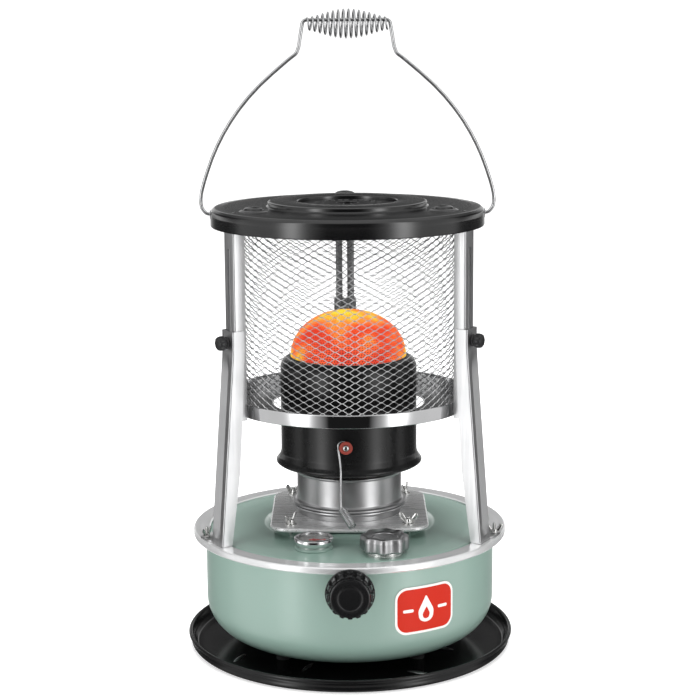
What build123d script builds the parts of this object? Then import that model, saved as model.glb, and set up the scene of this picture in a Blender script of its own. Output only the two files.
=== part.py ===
from build123d import *
import os, math

os.makedirs("parts", exist_ok=True)

# Portable round wick kerosene heater with a slide-up guard frame.
# Millimetres. +Z up, origin on the vertical axis at the underside of the tray,
# the knob and filler face -Y.

# ---- driving dimensions -------------------------------------------------
tray_r = 165.0          # outer radius of the rolled tray lip
tray_h = 14.0           # height of the lip
tank_r = 145.5          # tank side
tank_z0 = 13.5          # tank underside
tank_corner = 38.0      # radius of the tank's bottom corner
seam_z = 116.8          # underside of the tank's out-turned seam
band_r = 158.0          # seam band
band_z0, band_z1 = 114.8, 121.8
boss_z = 130.7          # top of the raised boss in the tank cover
plate_x, plate_y = 155.0, 150.0
plate_z0, plate_z1 = 131.7, 136.0
stud_p = 58.0           # plate studs at (+-58, +-58)
collar_r = 52.6         # silver burner collar
collar_z0, collar_z1 = 139.7, 179.7
drum_r = 68.2           # black burner drum
drum_flare_r = 73.4
drum_z0, drum_z1 = 180.0, 294.6
dome_r, dome_top = 57.8, 340.3
leg_az = {"left": 211.4, "right": 331.4, "rear": 91.4}
leg_w, leg_wall = 23.2, 1.6
leg_top_r, leg_foot_r = 136.0, 151.3
leg_top_z, leg_bend_z, leg_foot_z = 332.0, 312.0, 121.9
post_w, post_r0, post_r1 = 19.2, 120.6, 132.8
post_z0, post_z1 = 244.0, 428.0
slot_w, slot_z0, slot_z1 = 5.0, 314.0, 411.0
screw_z = 320.5
ring_r, ring_z0, ring_z1 = 120.3, 246.0, 258.9
mesh_r, mesh_z1 = 118.7, 438.0
cap_r, cap_z0, cap_z1 = 135.0, 426.3, 444.0
disc_r, disc_z = 78.6, 450.0
recess_r = 48.9
bail_z, bail_wire = 436.5, 3.5
bail_top = 624.8
shaft_z = 98.3          # knob and pinion axis
knob_y0, knob_y1 = -160.0, -178.0
knob_r = 23.5
mod, teeth = 1.0, 12    # pinion
filler = (33.4, -109.0)
gauge = (-34.7, -95.0)


# ---- helpers ------------------------------------------------------------
def face_xz(start, *segs):
    """Closed face in the XZ plane; a 2-tuple is a line, a 4-tuple an arc through a midpoint."""
    edges, p = [], start
    for s in list(segs) + [start]:
        if len(s) == 2:
            if math.dist(p, s) > 1e-6:
                edges.append(Edge.make_line((p[0], 0, p[1]), (s[0], 0, s[1])))
            p = s
        else:
            edges.append(Edge.make_three_point_arc((p[0], 0, p[1]), (s[0], 0, s[1]), (s[2], 0, s[3])))
            p = (s[2], s[3])
    return Face(Wire(edges))


def rev(start, *segs, arc=360):
    return revolve(face_xz(start, *segs), Axis.Z, arc)


def tube(r0, r1, z0, z1):
    return Pos(0, 0, (z0 + z1) / 2) * (Cylinder(r1, z1 - z0) - Cylinder(r0, z1 - z0 + 2))


def disc(r, z0, z1):
    return Pos(0, 0, (z0 + z1) / 2) * Cylinder(r, z1 - z0)


def block(x0, x1, y0, y1, z0, z1):
    return Pos((x0 + x1) / 2, (y0 + y1) / 2, (z0 + z1) / 2) * Box(x1 - x0, y1 - y0, z1 - z0)


def along_y(shape_r, y0, y1, x=0.0, z=0.0):
    """Cylinder along Y."""
    return Pos(x, (y0 + y1) / 2, z) * Rot(90, 0, 0) * Cylinder(shape_r, abs(y1 - y0))


def side_prism(pts, half):
    """Prism with its outline in the radial-vertical plane, thick along the tangent."""
    f = Face(Wire.make_polygon([(x, 0, z) for x, z in pts], close=True))
    return extrude(f, half, dir=(0, 1, 0), both=True)


def arc_mid(cx, cz, r, deg):
    return (cx + r * math.cos(math.radians(deg)), cz + r * math.sin(math.radians(deg)))


def save(shape, name):
    if isinstance(shape, (list, tuple)):
        shape = Compound(children=list(shape))
    shape.label = name
    export_step(shape, f"parts/{name}.step")


# ---- tray and tank -------------------------------------------------------
tray = rev((0, 0), (147, 0), (150, 1.2), (162.6, 11.2), (161.4, 12.2), (149.0, 2.6), (146.4, 1.4), (0, 1.4))
tray += Pos(0, 0, tray_h - 1.9) * Torus(tray_r - 1.9, 1.9)
save(tray, "base_tray")

feet = [Rot(0, 0, a) * Pos(94, 0, 0) * disc(7, 1.4, tank_z0) for a in (45, 135, 225, 315)]
save(feet, "tank_feet")

rc = tank_r - tank_corner
zc = tank_z0 + tank_corner
bowl = rev(
    (39.9, tank_z0), (rc, tank_z0), (*arc_mid(rc, zc, tank_corner, -45), tank_r, zc), (tank_r - 1, zc),
    (*arc_mid(rc, zc, tank_corner - 1, -45), rc, tank_z0 + 1), (39.9, tank_z0 + 1),
)
save(bowl, "tank_bowl")
wall = Pos(0, 0, 0) * tube(tank_r - 1, tank_r, zc, seam_z + 1.2)
wall -= along_y(6.05, -160, -120, z=shaft_z)
save(wall, "tank_wall")

# pressed cover: seam flange, shallow slope, step up to the flat boss that carries the adjuster plate
z1 = seam_z + 1.2
cover = rev(
    (156, seam_z), (156, z1 + 1.2), (140.4, z1 + 1.2), (137.8, 120.9), (100, 123.6), (85.2, 124.2),
    (81.6, 125.3, 80.0, 127.4), (78.8, 129.7, 75.6, boss_z), (48.4, boss_z), (48.4, boss_z - 1),
    (74.9, boss_z - 1), (77.6, 128.9, 78.8, 126.9), (80.6, 124.2, 84.9, 123.0), (100, 122.4), (137.4, 119.7), (139.9, z1), (tank_r + 0.02, z1), (tank_r + 0.02, seam_z),
)
cover -= Pos(filler[0], filler[1], 0) * disc(18.4, 100, 140)
cover -= Pos(gauge[0], gauge[1], 0) * disc(9.0, 100, 140)
for sx in (-1, 1):
    for sy in (-1, 1):
        cover -= Pos(sx * stud_p, sy * stud_p, 0) * disc(2.0, 110, 140)
save(cover, "tank_cover")

band = rev(
    (146.2, band_z0), (157.2, band_z0), (158, 115.6), (158, 121.0), (157.2, band_z1), (141.4, band_z1),
    (140.6, 121.0), (140.6, 119.4), (156.2, 119.4), (156.2, 116.6), (146.2, 116.6),
)
save(band, "rim_band")

badge = Rot(0, 0, 298 - 12.7) * rev((145.55, 46), (146.3, 46), (146.3, 94), (145.55, 94), arc=25.4)
save(badge, "badge")

# ---- filler ---------------------------------------------------------------
F = Pos(filler[0], filler[1], 0)
save(F * tube(17.0, 18.4, 108, 133), "filler_neck")
save(F * (tube(15.4, 16.0, 86, 131) + disc(16.0, 85, 86) + tube(15.4, 16.9, 130, 131)), "filler_strainer")
lid = disc(23.0, 124.6, 137.0)
for i in range(8):
    lid -= Rot(0, 0, 22.5 + 45 * i) * Pos(27.2, 0, 0) * disc(6.0, 120, 140)
lid -= disc(18.9, 120, 134.3)
lid -= disc(11.2, 136.0, 138)
save(F * lid, "filler_cap")
save(F * tube(13.5, 18.3, 133.1, 134.1), "filler_seal")

# ---- fuel gauge -------------------------------------------------------------
G = Pos(gauge[0], gauge[1], 0)
gbody = disc(9.0, 108, 126) + disc(17.0, 126, 127)
ear = block(-3, 3, -3, -1.6, 97, 109) + block(-3, 3, 1.6, 3, 97, 109)
ear -= along_y(1.2, -4, 4, z=100)
gbody += ear
save(G * gbody, "gauge_body")
save(G * rev((17.1, 125.9), (18.6, 125.9), (19.5, 127.2), (19.5, 130.2), (18.4, 131.4), (16.4, 131.4), (16.4, 130.8), (17.1, 130.8)), "gauge_bezel")
save(G * (disc(17.0, 127.0, 127.6) + disc(0.9, 127.6, 129.6)), "gauge_dial")
ptr = (disc(2.0, 128.0, 128.8) + block(0, 12, -0.7, 0.7, 128.0, 128.8)) - disc(0.95, 127, 130)
save(G * ptr, "gauge_pointer")
save(G * disc(17.0, 129.9, 130.7), "gauge_lens")
# float arm on a cross pin under the gauge, hanging down as in an empty tank
arm = along_y(1.15, -3.0, 3.0) + along_y(2.4, -1.3, 1.3) + block(-50, 0, -0.8, 0.8, -0.8, 0.8)
arm += Pos(-50, 0, 0) * Rot(90, 0, 0) * Cylinder(9, 20)
save(G * Pos(0, 0, 100) * Rot(0, -45, 0) * arm, "gauge_float")

# ---- wick, its tubes and the rack and pinion --------------------------------
save(tube(38.6, 39.8, 13.5, 176), "wick_tube_inner")
save(tube(47.0, 48.2, 113, 176), "wick_tube_outer")
save(tube(41.0, 45.6, 45, 180), "wick")
rack_x = -teeth * mod / 2
pitch = math.pi * mod
add_r, ded_r, lash = 0.62, 1.2, 0.22
hold = tube(45.6, 46.7, 76, 90) + block(-12.5, -8.0, -59, -45.4, 80, 88)
hold -= disc(45.6, 70, 95)
bar = block(-12.5, rack_x - ded_r, -59, -54, 80, 128)
ta = math.tan(math.radians(20))
for k in range(-3, 9):
    zc_ = shaft_z + pitch * (k + 0.5)
    if zc_ < 84 or zc_ > 126:
        continue
    h = pitch / 4 - lash / 2
    pts = [(rack_x - ded_r - 0.1, zc_ - h - ta * ded_r), (rack_x + add_r, zc_ - h + ta * add_r),
           (rack_x + add_r, zc_ + h - ta * add_r), (rack_x - ded_r - 0.1, zc_ + h + ta * ded_r)]
    bar += Pos(0, -56.5, 0) * side_prism(pts, 2.5)
save(hold + bar, "wick_holder")


def gear_outline(n, m, pa=20.0, add=1.0, ded=1.15, thin=0.16, steps=5):
    r = n * m / 2
    rb = r * math.cos(math.radians(pa))
    ra, rf = r + add * m, r - ded * m
    inv = lambda a: math.tan(a) - a
    half = math.pi / (2 * n) - thin / (2 * r)
    pts = []
    for i in range(n):
        c = 2 * math.pi * i / n
        flank = []
        for k in range(steps + 1):
            rr = max(rb, rf) + (ra - max(rb, rf)) * k / steps
            flank.append((rr, half + inv(math.radians(pa)) - inv(math.acos(min(1, rb / rr)))))
        root_half = flank[0][1]
        side = [(rf, root_half)] + flank
        pts += [(rr * math.cos(c - a), rr * math.sin(c - a)) for rr, a in side]
        pts += [(rr * math.cos(c + a), rr * math.sin(c + a)) for rr, a in reversed(side)]
    return pts


gp = gear_outline(teeth, mod, add=0.95)
pin = extrude(Face(Wire.make_polygon([(x, 0, z) for x, z in gp], close=True)), 2.5, dir=(0, 1, 0), both=True)
pin = Pos(0, -56.5, shaft_z) * pin - along_y(3.0, -70, -40, z=shaft_z)
save(pin, "pinion")
save(along_y(3.0, -171, -53, z=shaft_z), "wick_shaft")
tun = along_y(6.0, -150, -60, z=shaft_z) - along_y(3.05, -160, -50, z=shaft_z)
save(tun, "shaft_tunnel")
gland = Pos(0, -150, shaft_z) * Rot(90, 0, 0) * extrude(RegularPolygon(10, 6), 3.0, both=True)
gland -= along_y(6.0, -170, -130, z=shaft_z)
gland = gland & block(-12, 12, -153, -145.8, 80, 120)
save(gland, "shaft_gland")

kn = along_y(knob_r, knob_y0 - 3, knob_y0, z=shaft_z) + along_y(21.8, knob_y0 - 14, knob_y0 - 3, z=shaft_z)
kn += along_y(19.7, knob_y1, knob_y0 - 14, z=shaft_z)
for i in range(16):
    a = math.radians(22.5 * i)
    kn -= along_y(1.9, knob_y0 - 20, knob_y0 - 3.2, x=22.6 * math.cos(a), z=shaft_z + 22.6 * math.sin(a))
kn -= along_y(11.4, knob_y1 - 1, knob_y1 + 1.2, z=shaft_z)
kn -= along_y(3.0, -171, -150, z=shaft_z)
save(kn, "knob")

# ---- adjuster plate and collar -------------------------------------------------
pl = Pos(0, 0, plate_z0) * extrude(RectangleRounded(plate_x, plate_y, 17), plate_z1 - plate_z0)
pl -= disc(48.4, 120, 140)
for sx in (-1, 1):
    for sy in (-1, 1):
        pl -= Pos(sx * stud_p, sy * stud_p, 0) * disc(2.3, 120, 140)
save(pl, "adjuster_plate")
save(tube(48.4, 72, boss_z, plate_z0), "adjuster_gasket")
save([Pos(sx * stud_p, sy * stud_p, 0) * disc(2.0, 124, 150) for sx in (-1, 1) for sy in (-1, 1)], "plate_studs")


def wing_nut(hub_r, hub_h, span, top, th, bore, z0):
    w = Pos(0, 0, z0 + hub_h / 2) * Cone(hub_r, hub_r * 0.78, hub_h)
    for s in (-1, 1):
        pts = [(s * hub_r * 0.55, z0 + 1.0), (s * hub_r * 0.95, z0 + 1.0), (s * span, z0 + top * 0.62),
               (s * (span - 0.4), z0 + top), (s * (span * 0.72), z0 + top * 0.95), (s * hub_r * 0.55, z0 + hub_h * 0.95)]
        w += side_prism(pts, th / 2)
    return w - Pos(0, 0, z0 + 10) * Cylinder(bore, 40)


save([Pos(sx * stud_p, sy * stud_p, 0) * Rot(0, 0, a) * wing_nut(5.0, 6.0, 11.0, 13.5, 2.2, 2.0, plate_z1)
      for sx, sy, a in ((-1, -1, 20), (1, -1, -12), (-1, 1, 35), (1, 1, 70))], "wing_nuts")
save(tube(48.4, 57.8, plate_z1, 139.3), "adjuster_collar")

bc = tube(collar_r - 1.2, collar_r, collar_z0, collar_z1)
bc += tube(collar_r - 1.2, 57.8, collar_z0, 142.0) + tube(collar_r - 1.2, 53.8, 178.2, collar_z1)
save(bc, "burner_collar")

# ---- burner ----------------------------------------------------------------------
sh = 9.6
case = rev(
    (49.5, 180.0), (60.0, 180.0), (68.6, 182.3, 73.4, 188.6), (70.6, 193.6, drum_r, 200.0), (drum_r, drum_z1 - sh),
    (*arc_mid(drum_r - sh, drum_z1 - sh, sh, 45), drum_r - sh, drum_z1),
    (drum_r - sh, drum_z1 - 1.2), (*arc_mid(drum_r - sh, drum_z1 - sh, sh - 1.2, 45), drum_r - 1.2, drum_z1 - sh),
    (drum_r - 1.2, 200.0), (69.4, 193.4, 72.0, 188.8), (67.9, 183.6, 60.0, 181.2), (49.5, 181.2),
)
case -= along_y(1.9, -90, -50, x=-3, z=216)
save(case, "burner_case")

h = dome_top - 294.8
prof_o = [(dome_r * math.cos(math.radians(a)), 294.8 + h * math.sin(math.radians(a))) for a in range(0, 91, 10)]
prof_i = [((dome_r - 1.0) * math.cos(math.radians(a)), 294.8 + (h - 1.0) * math.sin(math.radians(a))) for a in range(90, -1, -10)]
prof_o[-1] = (0, dome_top)
prof_i[0] = (0, dome_top - 1.0)
eo = Edge.make_spline([Vector(x, 0, z) for x, z in prof_o], tangents=[Vector(0, 0, 1), Vector(-1, 0, 0)])
ei = Edge.make_spline([Vector(x, 0, z) for x, z in prof_i], tangents=[Vector(1, 0, 0), Vector(0, 0, -1)])
w = Wire([
    Edge.make_line((dome_r, 0, 286), (dome_r, 0, 294.8)), eo,
    Edge.make_line((0, 0, dome_top), (0, 0, dome_top - 1.0)), ei,
    Edge.make_line((dome_r - 1, 0, 294.8), (dome_r - 1, 0, 286)),
    Edge.make_line((dome_r - 1, 0, 286), (dome_r, 0, 286)),
])
save(revolve(Face(w), Axis.Z, 360), "glow_dome")
save(tube(34, 35, 181.4, 276), "inner_flame_tube")
save(tube(52, 53, 181.4, 284), "outer_flame_tube")
save(disc(35, 276, 279) + disc(24, 279, 284), "flame_spreader")

# ---- burner handle: hooked wire on a screw with a fibre washer, coil grip ------------
save(along_y(1.9, -72.4, -64, x=-3, z=216) + along_y(3.3, -74.4, -72.4, x=-3, z=216), "handle_screw")
save(along_y(6.6, -72.4, -71.2, x=-3, z=216) - along_y(1.9, -80, -60, x=-3, z=216), "handle_washer")
hx, hz, hy = -3.0, 216.0, -69.9
# open eye round the screw, then down past the flare and out to the grip
eye = Edge.make_three_point_arc(
    (hx + 0.9, hy, hz - 5.2), (hx + 5.27, hy, hz + 0.4), (hx - 0.4, hy, hz + 5.2))
run = FilletPolyline(
    (hx - 0.4, hy, hz + 5.2), (hx - 7.6, hy, hz + 5.0), (hx - 6.2, hy - 0.4, hz - 12.0), (hx - 5.2, -77.2, 192.0),
    (hx - 5.6, -77.6, 170.0), (hx - 5.2, -79.0, 157.8), radius=[4.0, 8.0, 8.0, 10.0])
wp = Wire([eye] + list(run.edges()))
sec = Plane(origin=wp @ 0, z_dir=wp % 0) * Circle(1.0)
try:
    hw = sweep(sec, path=wp)
except Exception:
    hw = sweep(sec, path=run)
save(hw, "burner_handle")
g0, g1 = Vector(hx - 4.6, -79.5, 157.2), Vector(3.2, -98.0, 144.5)
gd = (g1 - g0)
save(Plane(origin=g0, z_dir=gd) * (Pos(0, 0, gd.length / 2) * (Cylinder(4.4, gd.length) - Cylinder(3.0, gd.length + 2))), "handle_grip")

# ---- legs: fixed outer channels standing on the seam band ----------------------------
hw_ = leg_w / 2
zb = leg_foot_z


def leg(sign):
    o = side_prism([(leg_top_r, leg_top_z), (leg_top_r, leg_bend_z), (leg_foot_r, zb), (leg_foot_r - 10.8, zb),
                    (138.3, 137), (134.4, 165), (130.4, 195), (126.4, 253), (leg_top_r - 12.4, leg_bend_z), (leg_top_r - 12.4, leg_top_z)], hw_)
    i = side_prism([(leg_top_r - leg_wall, leg_top_z + 2), (leg_top_r - leg_wall, leg_bend_z),
                    (leg_foot_r - leg_wall, zb - 2), (90, zb - 2), (90, leg_top_z + 2)], hw_ - leg_wall)
    o -= i
    o += block(140.5, 153.5, min(0, sign * 34), max(0, sign * 34), zb, zb + 1.6)
    o += block(140.5, 151.0, -hw_ + 0.4, hw_ - 0.4, zb, zb + 1.6)
    o -= Pos(149, sign * 26, 0) * disc(2.3, 110, 140)
    o -= Pos(leg_top_r, 0, screw_z) * Rot(0, 90, 0) * Cylinder(2.05, 12)
    return o


leg_sign = {"left": -1, "right": 1, "rear": 1}
for k, a in leg_az.items():
    save(Rot(0, 0, a) * leg(leg_sign[k]), f"leg_{k}")
save([Rot(0, 0, a) * Pos(149, leg_sign[k] * 26, 0) * disc(1.9, band_z1, 134) for k, a in leg_az.items()], "foot_studs")
save([Rot(0, 0, a) * Pos(149, leg_sign[k] * 26, 0) * Rot(0, 0, 30) * wing_nut(3.8, 4.2, 8.0, 9.5, 1.8, 1.9, zb + 1.6)
      for k, a in leg_az.items()], "foot_nuts")

# ---- thumbscrews: clamp the posts inside the leg sleeves --------------------------------
for k, a in leg_az.items():
    X = lambda r0, r1, r: Pos((r0 + r1) / 2, 0, 0) * Rot(0, 90, 0) * Cylinder(r, r1 - r0)
    t = X(128.4, 138.0, 2.0) + X(128.6, 130.7, 5.5) + X(136.4, 139.6, 4.6)
    head = X(139.2, 147.2, 6.0)
    for i in range(5):
        b = math.radians(72 * i)
        head += Pos(0, 4.6 * math.cos(b), 4.6 * math.sin(b)) * X(139.8, 146.8, 2.5)
    t += head
    save(Rot(0, 0, a) * Pos(0, 0, screw_z) * t, f"thumbscrew_{k}")


# ---- upper frame: slotted posts, ring, reflector, mesh, cap --------------------------------
def post():
    p = block(post_r0, post_r1, -post_w / 2, post_w / 2, post_z0, post_z1)
    p -= block(post_r0 - 5, post_r1 - 1.5, -post_w / 2 + 1.5, post_w / 2 - 1.5, post_z0 - 1, post_z1 + 1)
    c = (slot_z0 + slot_z1) / 2
    p -= Pos(post_r1, 0, c) * Rot(0, 90, 0) * extrude(SlotOverall(slot_z1 - slot_z0, slot_w), 6, both=True)
    return p


for k, a in leg_az.items():
    save(Rot(0, 0, a) * post(), f"post_{k}")

save(tube(ring_r - 1.3, ring_r, ring_z0, ring_z1), "guard_ring")
refl = tube(75.5, ring_r - 1.4, ring_z0 + 0.3, ring_z0 + 1.3)
refl -= block(-16, 12, -104, -60, 240, 250)
save(refl, "reflector_plate")
save(tube(mesh_r - 0.4, mesh_r, ring_z0 + 1.5, mesh_z1), "guard_mesh")

cr = 8.0
cp = rev(
    (cap_r, cap_z0), (cap_r, cap_z1 - cr), (*arc_mid(cap_r - cr, cap_z1 - cr, cr, 45), cap_r - cr, cap_z1),
    (disc_r + 1.5, cap_z1), (disc_r, cap_z1 + 1.0), (disc_r, disc_z - 1.5), (disc_r - 1.5, disc_z),
    (recess_r + 0.8, disc_z), (recess_r, disc_z - 0.8), (recess_r, disc_z - 3.0), (0, disc_z - 3.0), (0, disc_z - 4.2),
    (recess_r + 1.2, disc_z - 4.2), (recess_r + 1.2, disc_z - 1.4), (disc_r - 1.4, disc_z - 1.4), (disc_r - 1.4, cap_z1 - 1.4),
    (cap_r - cr, cap_z1 - 1.4), (*arc_mid(cap_r - cr, cap_z1 - cr, cr - 1.4, 45), cap_r - 1.4, cap_z1 - cr), (cap_r - 1.4, cap_z0),
)
cp -= disc(11, 440, 455)
for i in range(12):
    cp -= Rot(0, 0, 30 * i + 8) * Pos(27, 0, 0) * disc(4.8, 440, 455)
for k, a in leg_az.items():
    lens = (Sphere(30) & block(-30, 30, -30, 30, 26.2, 31))
    cp += Rot(0, 0, a) * Pos(104, 0, cap_z1 - 27) * lens
cp -= Pos(0, 0, bail_z) * Rot(0, 90, 0) * Cylinder(bail_wire / 2 + 0.06, 400)
save(cp, "cap")
save(tube(40, 100, 433.0, 434.0) + Rot(0, 0, 30) * Pos(70, 0, 0) * disc(3, 434, cap_z1 - 1.4)
     + Rot(0, 0, 150) * Pos(70, 0, 0) * disc(3, 434, disc_z - 1.4) + Rot(0, 0, 270) * Pos(70, 0, 0) * disc(3, 434, disc_z - 1.4)
     + Rot(0, 0, 30) * Pos(70, 0, 0) * disc(3, 434, disc_z - 1.4), "heat_shield")
save([Rot(0, 0, a) * Pos(124.5, 0, cap_z1) * ((Sphere(5) & block(-5, 5, -5, 5, 0, 5)) & Pos(0, 0, 1) * Cylinder(5, 2))
      for a in leg_az.values()], "cap_screws")

# ---- bail handle with a barrel-shaped coil grip ------------------------------------------------
half_pts = [(130.5, bail_z), (149.3, bail_z), (150.4, 455.0), (133.0, 497.0), (104.0, 545.0), (72.0, 579.0), (46.0, 596.5), (43.4, bail_top)]
pts = [(x, 0, z) for x, z in half_pts] + [(-x, 0, z) for x, z in reversed(half_pts)]
rad = [7.0, 28.0, 90.0, 90.0, 70.0, 12.0, 4.5]
bp = FilletPolyline(*pts, radius=rad + rad[::-1])
save(sweep(Plane(origin=bp @ 0, z_dir=bp % 0) * Circle(bail_wire / 2), path=bp), "bail")

gz = bail_top - 3.8
sleeve = revolve(face_xz((-38.9, 7.65), (0, 14.4, 38.9, 7.65), (38.9, 5.7), (0, 12.4, -38.9, 5.7)), Axis.X, 360)
save(Pos(0.8, 0, gz) * sleeve, "grip_spring")
print("done")
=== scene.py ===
import math
import bpy
import bmesh
import numpy as np
from mathutils import Vector, Matrix, noise


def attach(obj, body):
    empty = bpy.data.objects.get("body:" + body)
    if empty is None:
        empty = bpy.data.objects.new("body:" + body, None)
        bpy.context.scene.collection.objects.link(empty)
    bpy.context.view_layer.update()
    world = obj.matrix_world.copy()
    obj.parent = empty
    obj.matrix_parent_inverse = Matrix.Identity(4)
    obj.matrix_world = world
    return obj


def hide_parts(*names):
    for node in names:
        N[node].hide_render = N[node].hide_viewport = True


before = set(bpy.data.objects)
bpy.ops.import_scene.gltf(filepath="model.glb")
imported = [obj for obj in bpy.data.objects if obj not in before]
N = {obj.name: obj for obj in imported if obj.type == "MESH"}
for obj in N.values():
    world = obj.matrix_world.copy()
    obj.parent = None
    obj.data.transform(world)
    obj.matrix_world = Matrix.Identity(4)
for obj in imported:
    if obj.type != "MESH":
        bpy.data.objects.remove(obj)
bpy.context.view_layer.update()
MM = 0.001
scene = bpy.context.scene
COL = scene.collection
rad = math.radians
TAU = 2 * math.pi

LEG_AZ = {"left": 211.4, "right": 331.4, "rear": 91.4}
SIGN = {"left": -1, "right": 1, "rear": 1}

# =========================================================================
# camera
# =========================================================================
cam_data = bpy.data.cameras.new("camera")
cam = bpy.data.objects.new("camera", cam_data)
COL.objects.link(cam)
cam_data.sensor_width = 36.0
cam_data.lens = 93.91
cam.location = (-0.00034, -1.7859, 0.6266)
cam.rotation_mode = "QUATERNION"
cam.rotation_quaternion = (Matrix.Rotation(rad(90 - 10.31), 3, "X") @ Matrix.Rotation(rad(-0.386), 3, "Z")).to_quaternion()
cam_data.clip_start, cam_data.clip_end = 0.05, 60
scene.camera = cam

# =========================================================================
# materials
# =========================================================================
def new_mat(name):
    m = bpy.data.materials.new(name)
    m.use_nodes = True
    nt = m.node_tree
    b = nt.nodes["Principled BSDF"]
    return m, nt, b


def coords(nt, scale):
    tc = nt.nodes.new("ShaderNodeTexCoord")
    mp = nt.nodes.new("ShaderNodeMapping")
    mp.inputs["Scale"].default_value = scale if hasattr(scale, "__len__") else (scale,) * 3
    nt.links.new(tc.outputs["Object"], mp.inputs["Vector"])
    return mp.outputs["Vector"]


def noise_tex(nt, scale, detail=3.0, rough=0.5):
    n = nt.nodes.new("ShaderNodeTexNoise")
    n.inputs["Scale"].default_value = 1.0
    n.inputs["Detail"].default_value = detail
    n.inputs["Roughness"].default_value = rough
    nt.links.new(coords(nt, scale), n.inputs["Vector"])
    return n.outputs["Fac"]


def maprange(nt, fac, lo, hi, flo=0.3, fhi=0.7):
    r = nt.nodes.new("ShaderNodeMapRange")
    r.inputs["From Min"].default_value = flo
    r.inputs["From Max"].default_value = fhi
    r.inputs["To Min"].default_value = lo
    r.inputs["To Max"].default_value = hi
    nt.links.new(fac, r.inputs["Value"])
    return r.outputs["Result"]


def mixcol(nt, fac, a, b):
    r = nt.nodes.new("ShaderNodeValToRGB")
    r.color_ramp.elements[0].color = (*a, 1)
    r.color_ramp.elements[1].color = (*b, 1)
    r.color_ramp.elements[0].position = 0.3
    r.color_ramp.elements[1].position = 0.7
    nt.links.new(fac, r.inputs["Fac"])
    return r.outputs["Color"]


def finish_mat(nt, b, col_a, col_b, col_scale, r_lo, r_hi, r_scale, bump_scale, bump, dist=0.0002, detail=3.0):
    nt.links.new(mixcol(nt, noise_tex(nt, col_scale), col_a, col_b), b.inputs["Base Color"])
    nt.links.new(maprange(nt, noise_tex(nt, r_scale, 4.0), r_lo, r_hi), b.inputs["Roughness"])
    if bump > 0:
        bp = nt.nodes.new("ShaderNodeBump")
        bp.inputs["Strength"].default_value = bump
        bp.inputs["Distance"].default_value = dist
        nt.links.new(noise_tex(nt, bump_scale, detail), bp.inputs["Height"])
        nt.links.new(bp.outputs["Normal"], b.inputs["Normal"])


def paint(name, a, bcol, r_lo, r_hi, coat=0.0, coat_r=0.05, peel=0.05, peel_scale=900, spec=0.5, ior=1.5):
    m, nt, b = new_mat(name)
    b.inputs["Coat Weight"].default_value = coat
    b.inputs["Coat Roughness"].default_value = coat_r
    b.inputs["Specular IOR Level"].default_value = spec
    b.inputs["IOR"].default_value = ior
    finish_mat(nt, b, a, bcol, 9, r_lo, r_hi, 40, peel_scale, peel)
    return m


def metal(name, a, bcol, r_lo, r_hi, brush=None, bump=0.0, dist=0.00005, col_scale=30, r_scale=60, aniso=0.0, metallic=1.0):
    m, nt, b = new_mat(name)
    b.inputs["Metallic"].default_value = metallic
    b.inputs["Anisotropic"].default_value = aniso
    finish_mat(nt, b, a, bcol, col_scale, r_lo, r_hi, r_scale if brush is None else brush, 1500 if brush is None else brush, bump, dist)
    return m


M = {}
M["green"] = paint("enamel_green", (0.262, 0.385, 0.332), (0.272, 0.396, 0.342), 0.30, 0.36, coat=0.55, coat_r=0.20, peel=0.008, spec=0.5, ior=1.6)
M["cap_black"] = paint("enamel_black", (0.0035, 0.0035, 0.0037), (0.0045, 0.0045, 0.0048), 0.15, 0.19, peel=0.006, spec=0.5, ior=1.7)
M["tray_black"] = paint("tray_black", (0.004, 0.004, 0.0042), (0.006, 0.006, 0.0063), 0.13, 0.18, peel=0.012, spec=0.42)
M["drum_black"] = paint("drum_black", (0.004, 0.004, 0.0042), (0.007, 0.007, 0.0072), 0.24, 0.30, peel=0.03, peel_scale=1400, spec=0.45)
M["knob_black"] = paint("knob_plastic", (0.006, 0.006, 0.0065), (0.009, 0.009, 0.0095), 0.18, 0.26, peel=0.03, peel_scale=1800, spec=0.45)
M["screw_black"] = paint("screw_plastic", (0.010, 0.010, 0.011), (0.018, 0.018, 0.019), 0.28, 0.42, peel=0.10, peel_scale=1600)
M["chrome"] = metal("chrome", (0.74, 0.745, 0.75), (0.80, 0.80, 0.81), 0.03, 0.08, bump=0.01)
M["band"] = metal("bright_band", (0.84, 0.845, 0.85), (0.90, 0.90, 0.905), 0.12, 0.18, bump=0.005, metallic=0.55)
M["wire"] = metal("bright_wire", (0.54, 0.545, 0.55), (0.66, 0.66, 0.67), 0.16, 0.28, bump=0.06, brush=(300, 300, 300))
M["collar"] = metal("brushed_collar", (0.47, 0.47, 0.475), (0.55, 0.55, 0.555), 0.30, 0.36, brush=(10, 10, 700), bump=0.03, dist=0.00003)
M["plate"] = metal("bright_plate", (0.80, 0.80, 0.805), (0.87, 0.87, 0.87), 0.24, 0.32, brush=(40, 900, 40), bump=0.02, metallic=0.5)
M["alu"] = metal("satin_aluminium", (0.59, 0.595, 0.60), (0.66, 0.66, 0.665), 0.30, 0.42, brush=(700, 700, 12), bump=0.10, dist=0.00004)
M["alu_in"] = metal("satin_aluminium_inner", (0.60, 0.605, 0.61), (0.70, 0.70, 0.705), 0.34, 0.46, brush=(700, 700, 12), bump=0.10, dist=0.00004)
M["zinc"] = metal("zinc_plate", (0.66, 0.66, 0.65), (0.80, 0.80, 0.78), 0.16, 0.30, bump=0.12)
M["mesh"] = metal("galvanised_mesh", (0.56, 0.565, 0.57), (0.68, 0.68, 0.685), 0.18, 0.28, bump=0.05, dist=0.00005)
M["cap_grey"] = metal("cast_grey", (0.40, 0.40, 0.405), (0.50, 0.50, 0.505), 0.32, 0.42, bump=0.10, dist=0.00008)
M["shield"] = metal("reflector_steel", (0.70, 0.70, 0.705), (0.80, 0.80, 0.80), 0.10, 0.20, bump=0.05)
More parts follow.
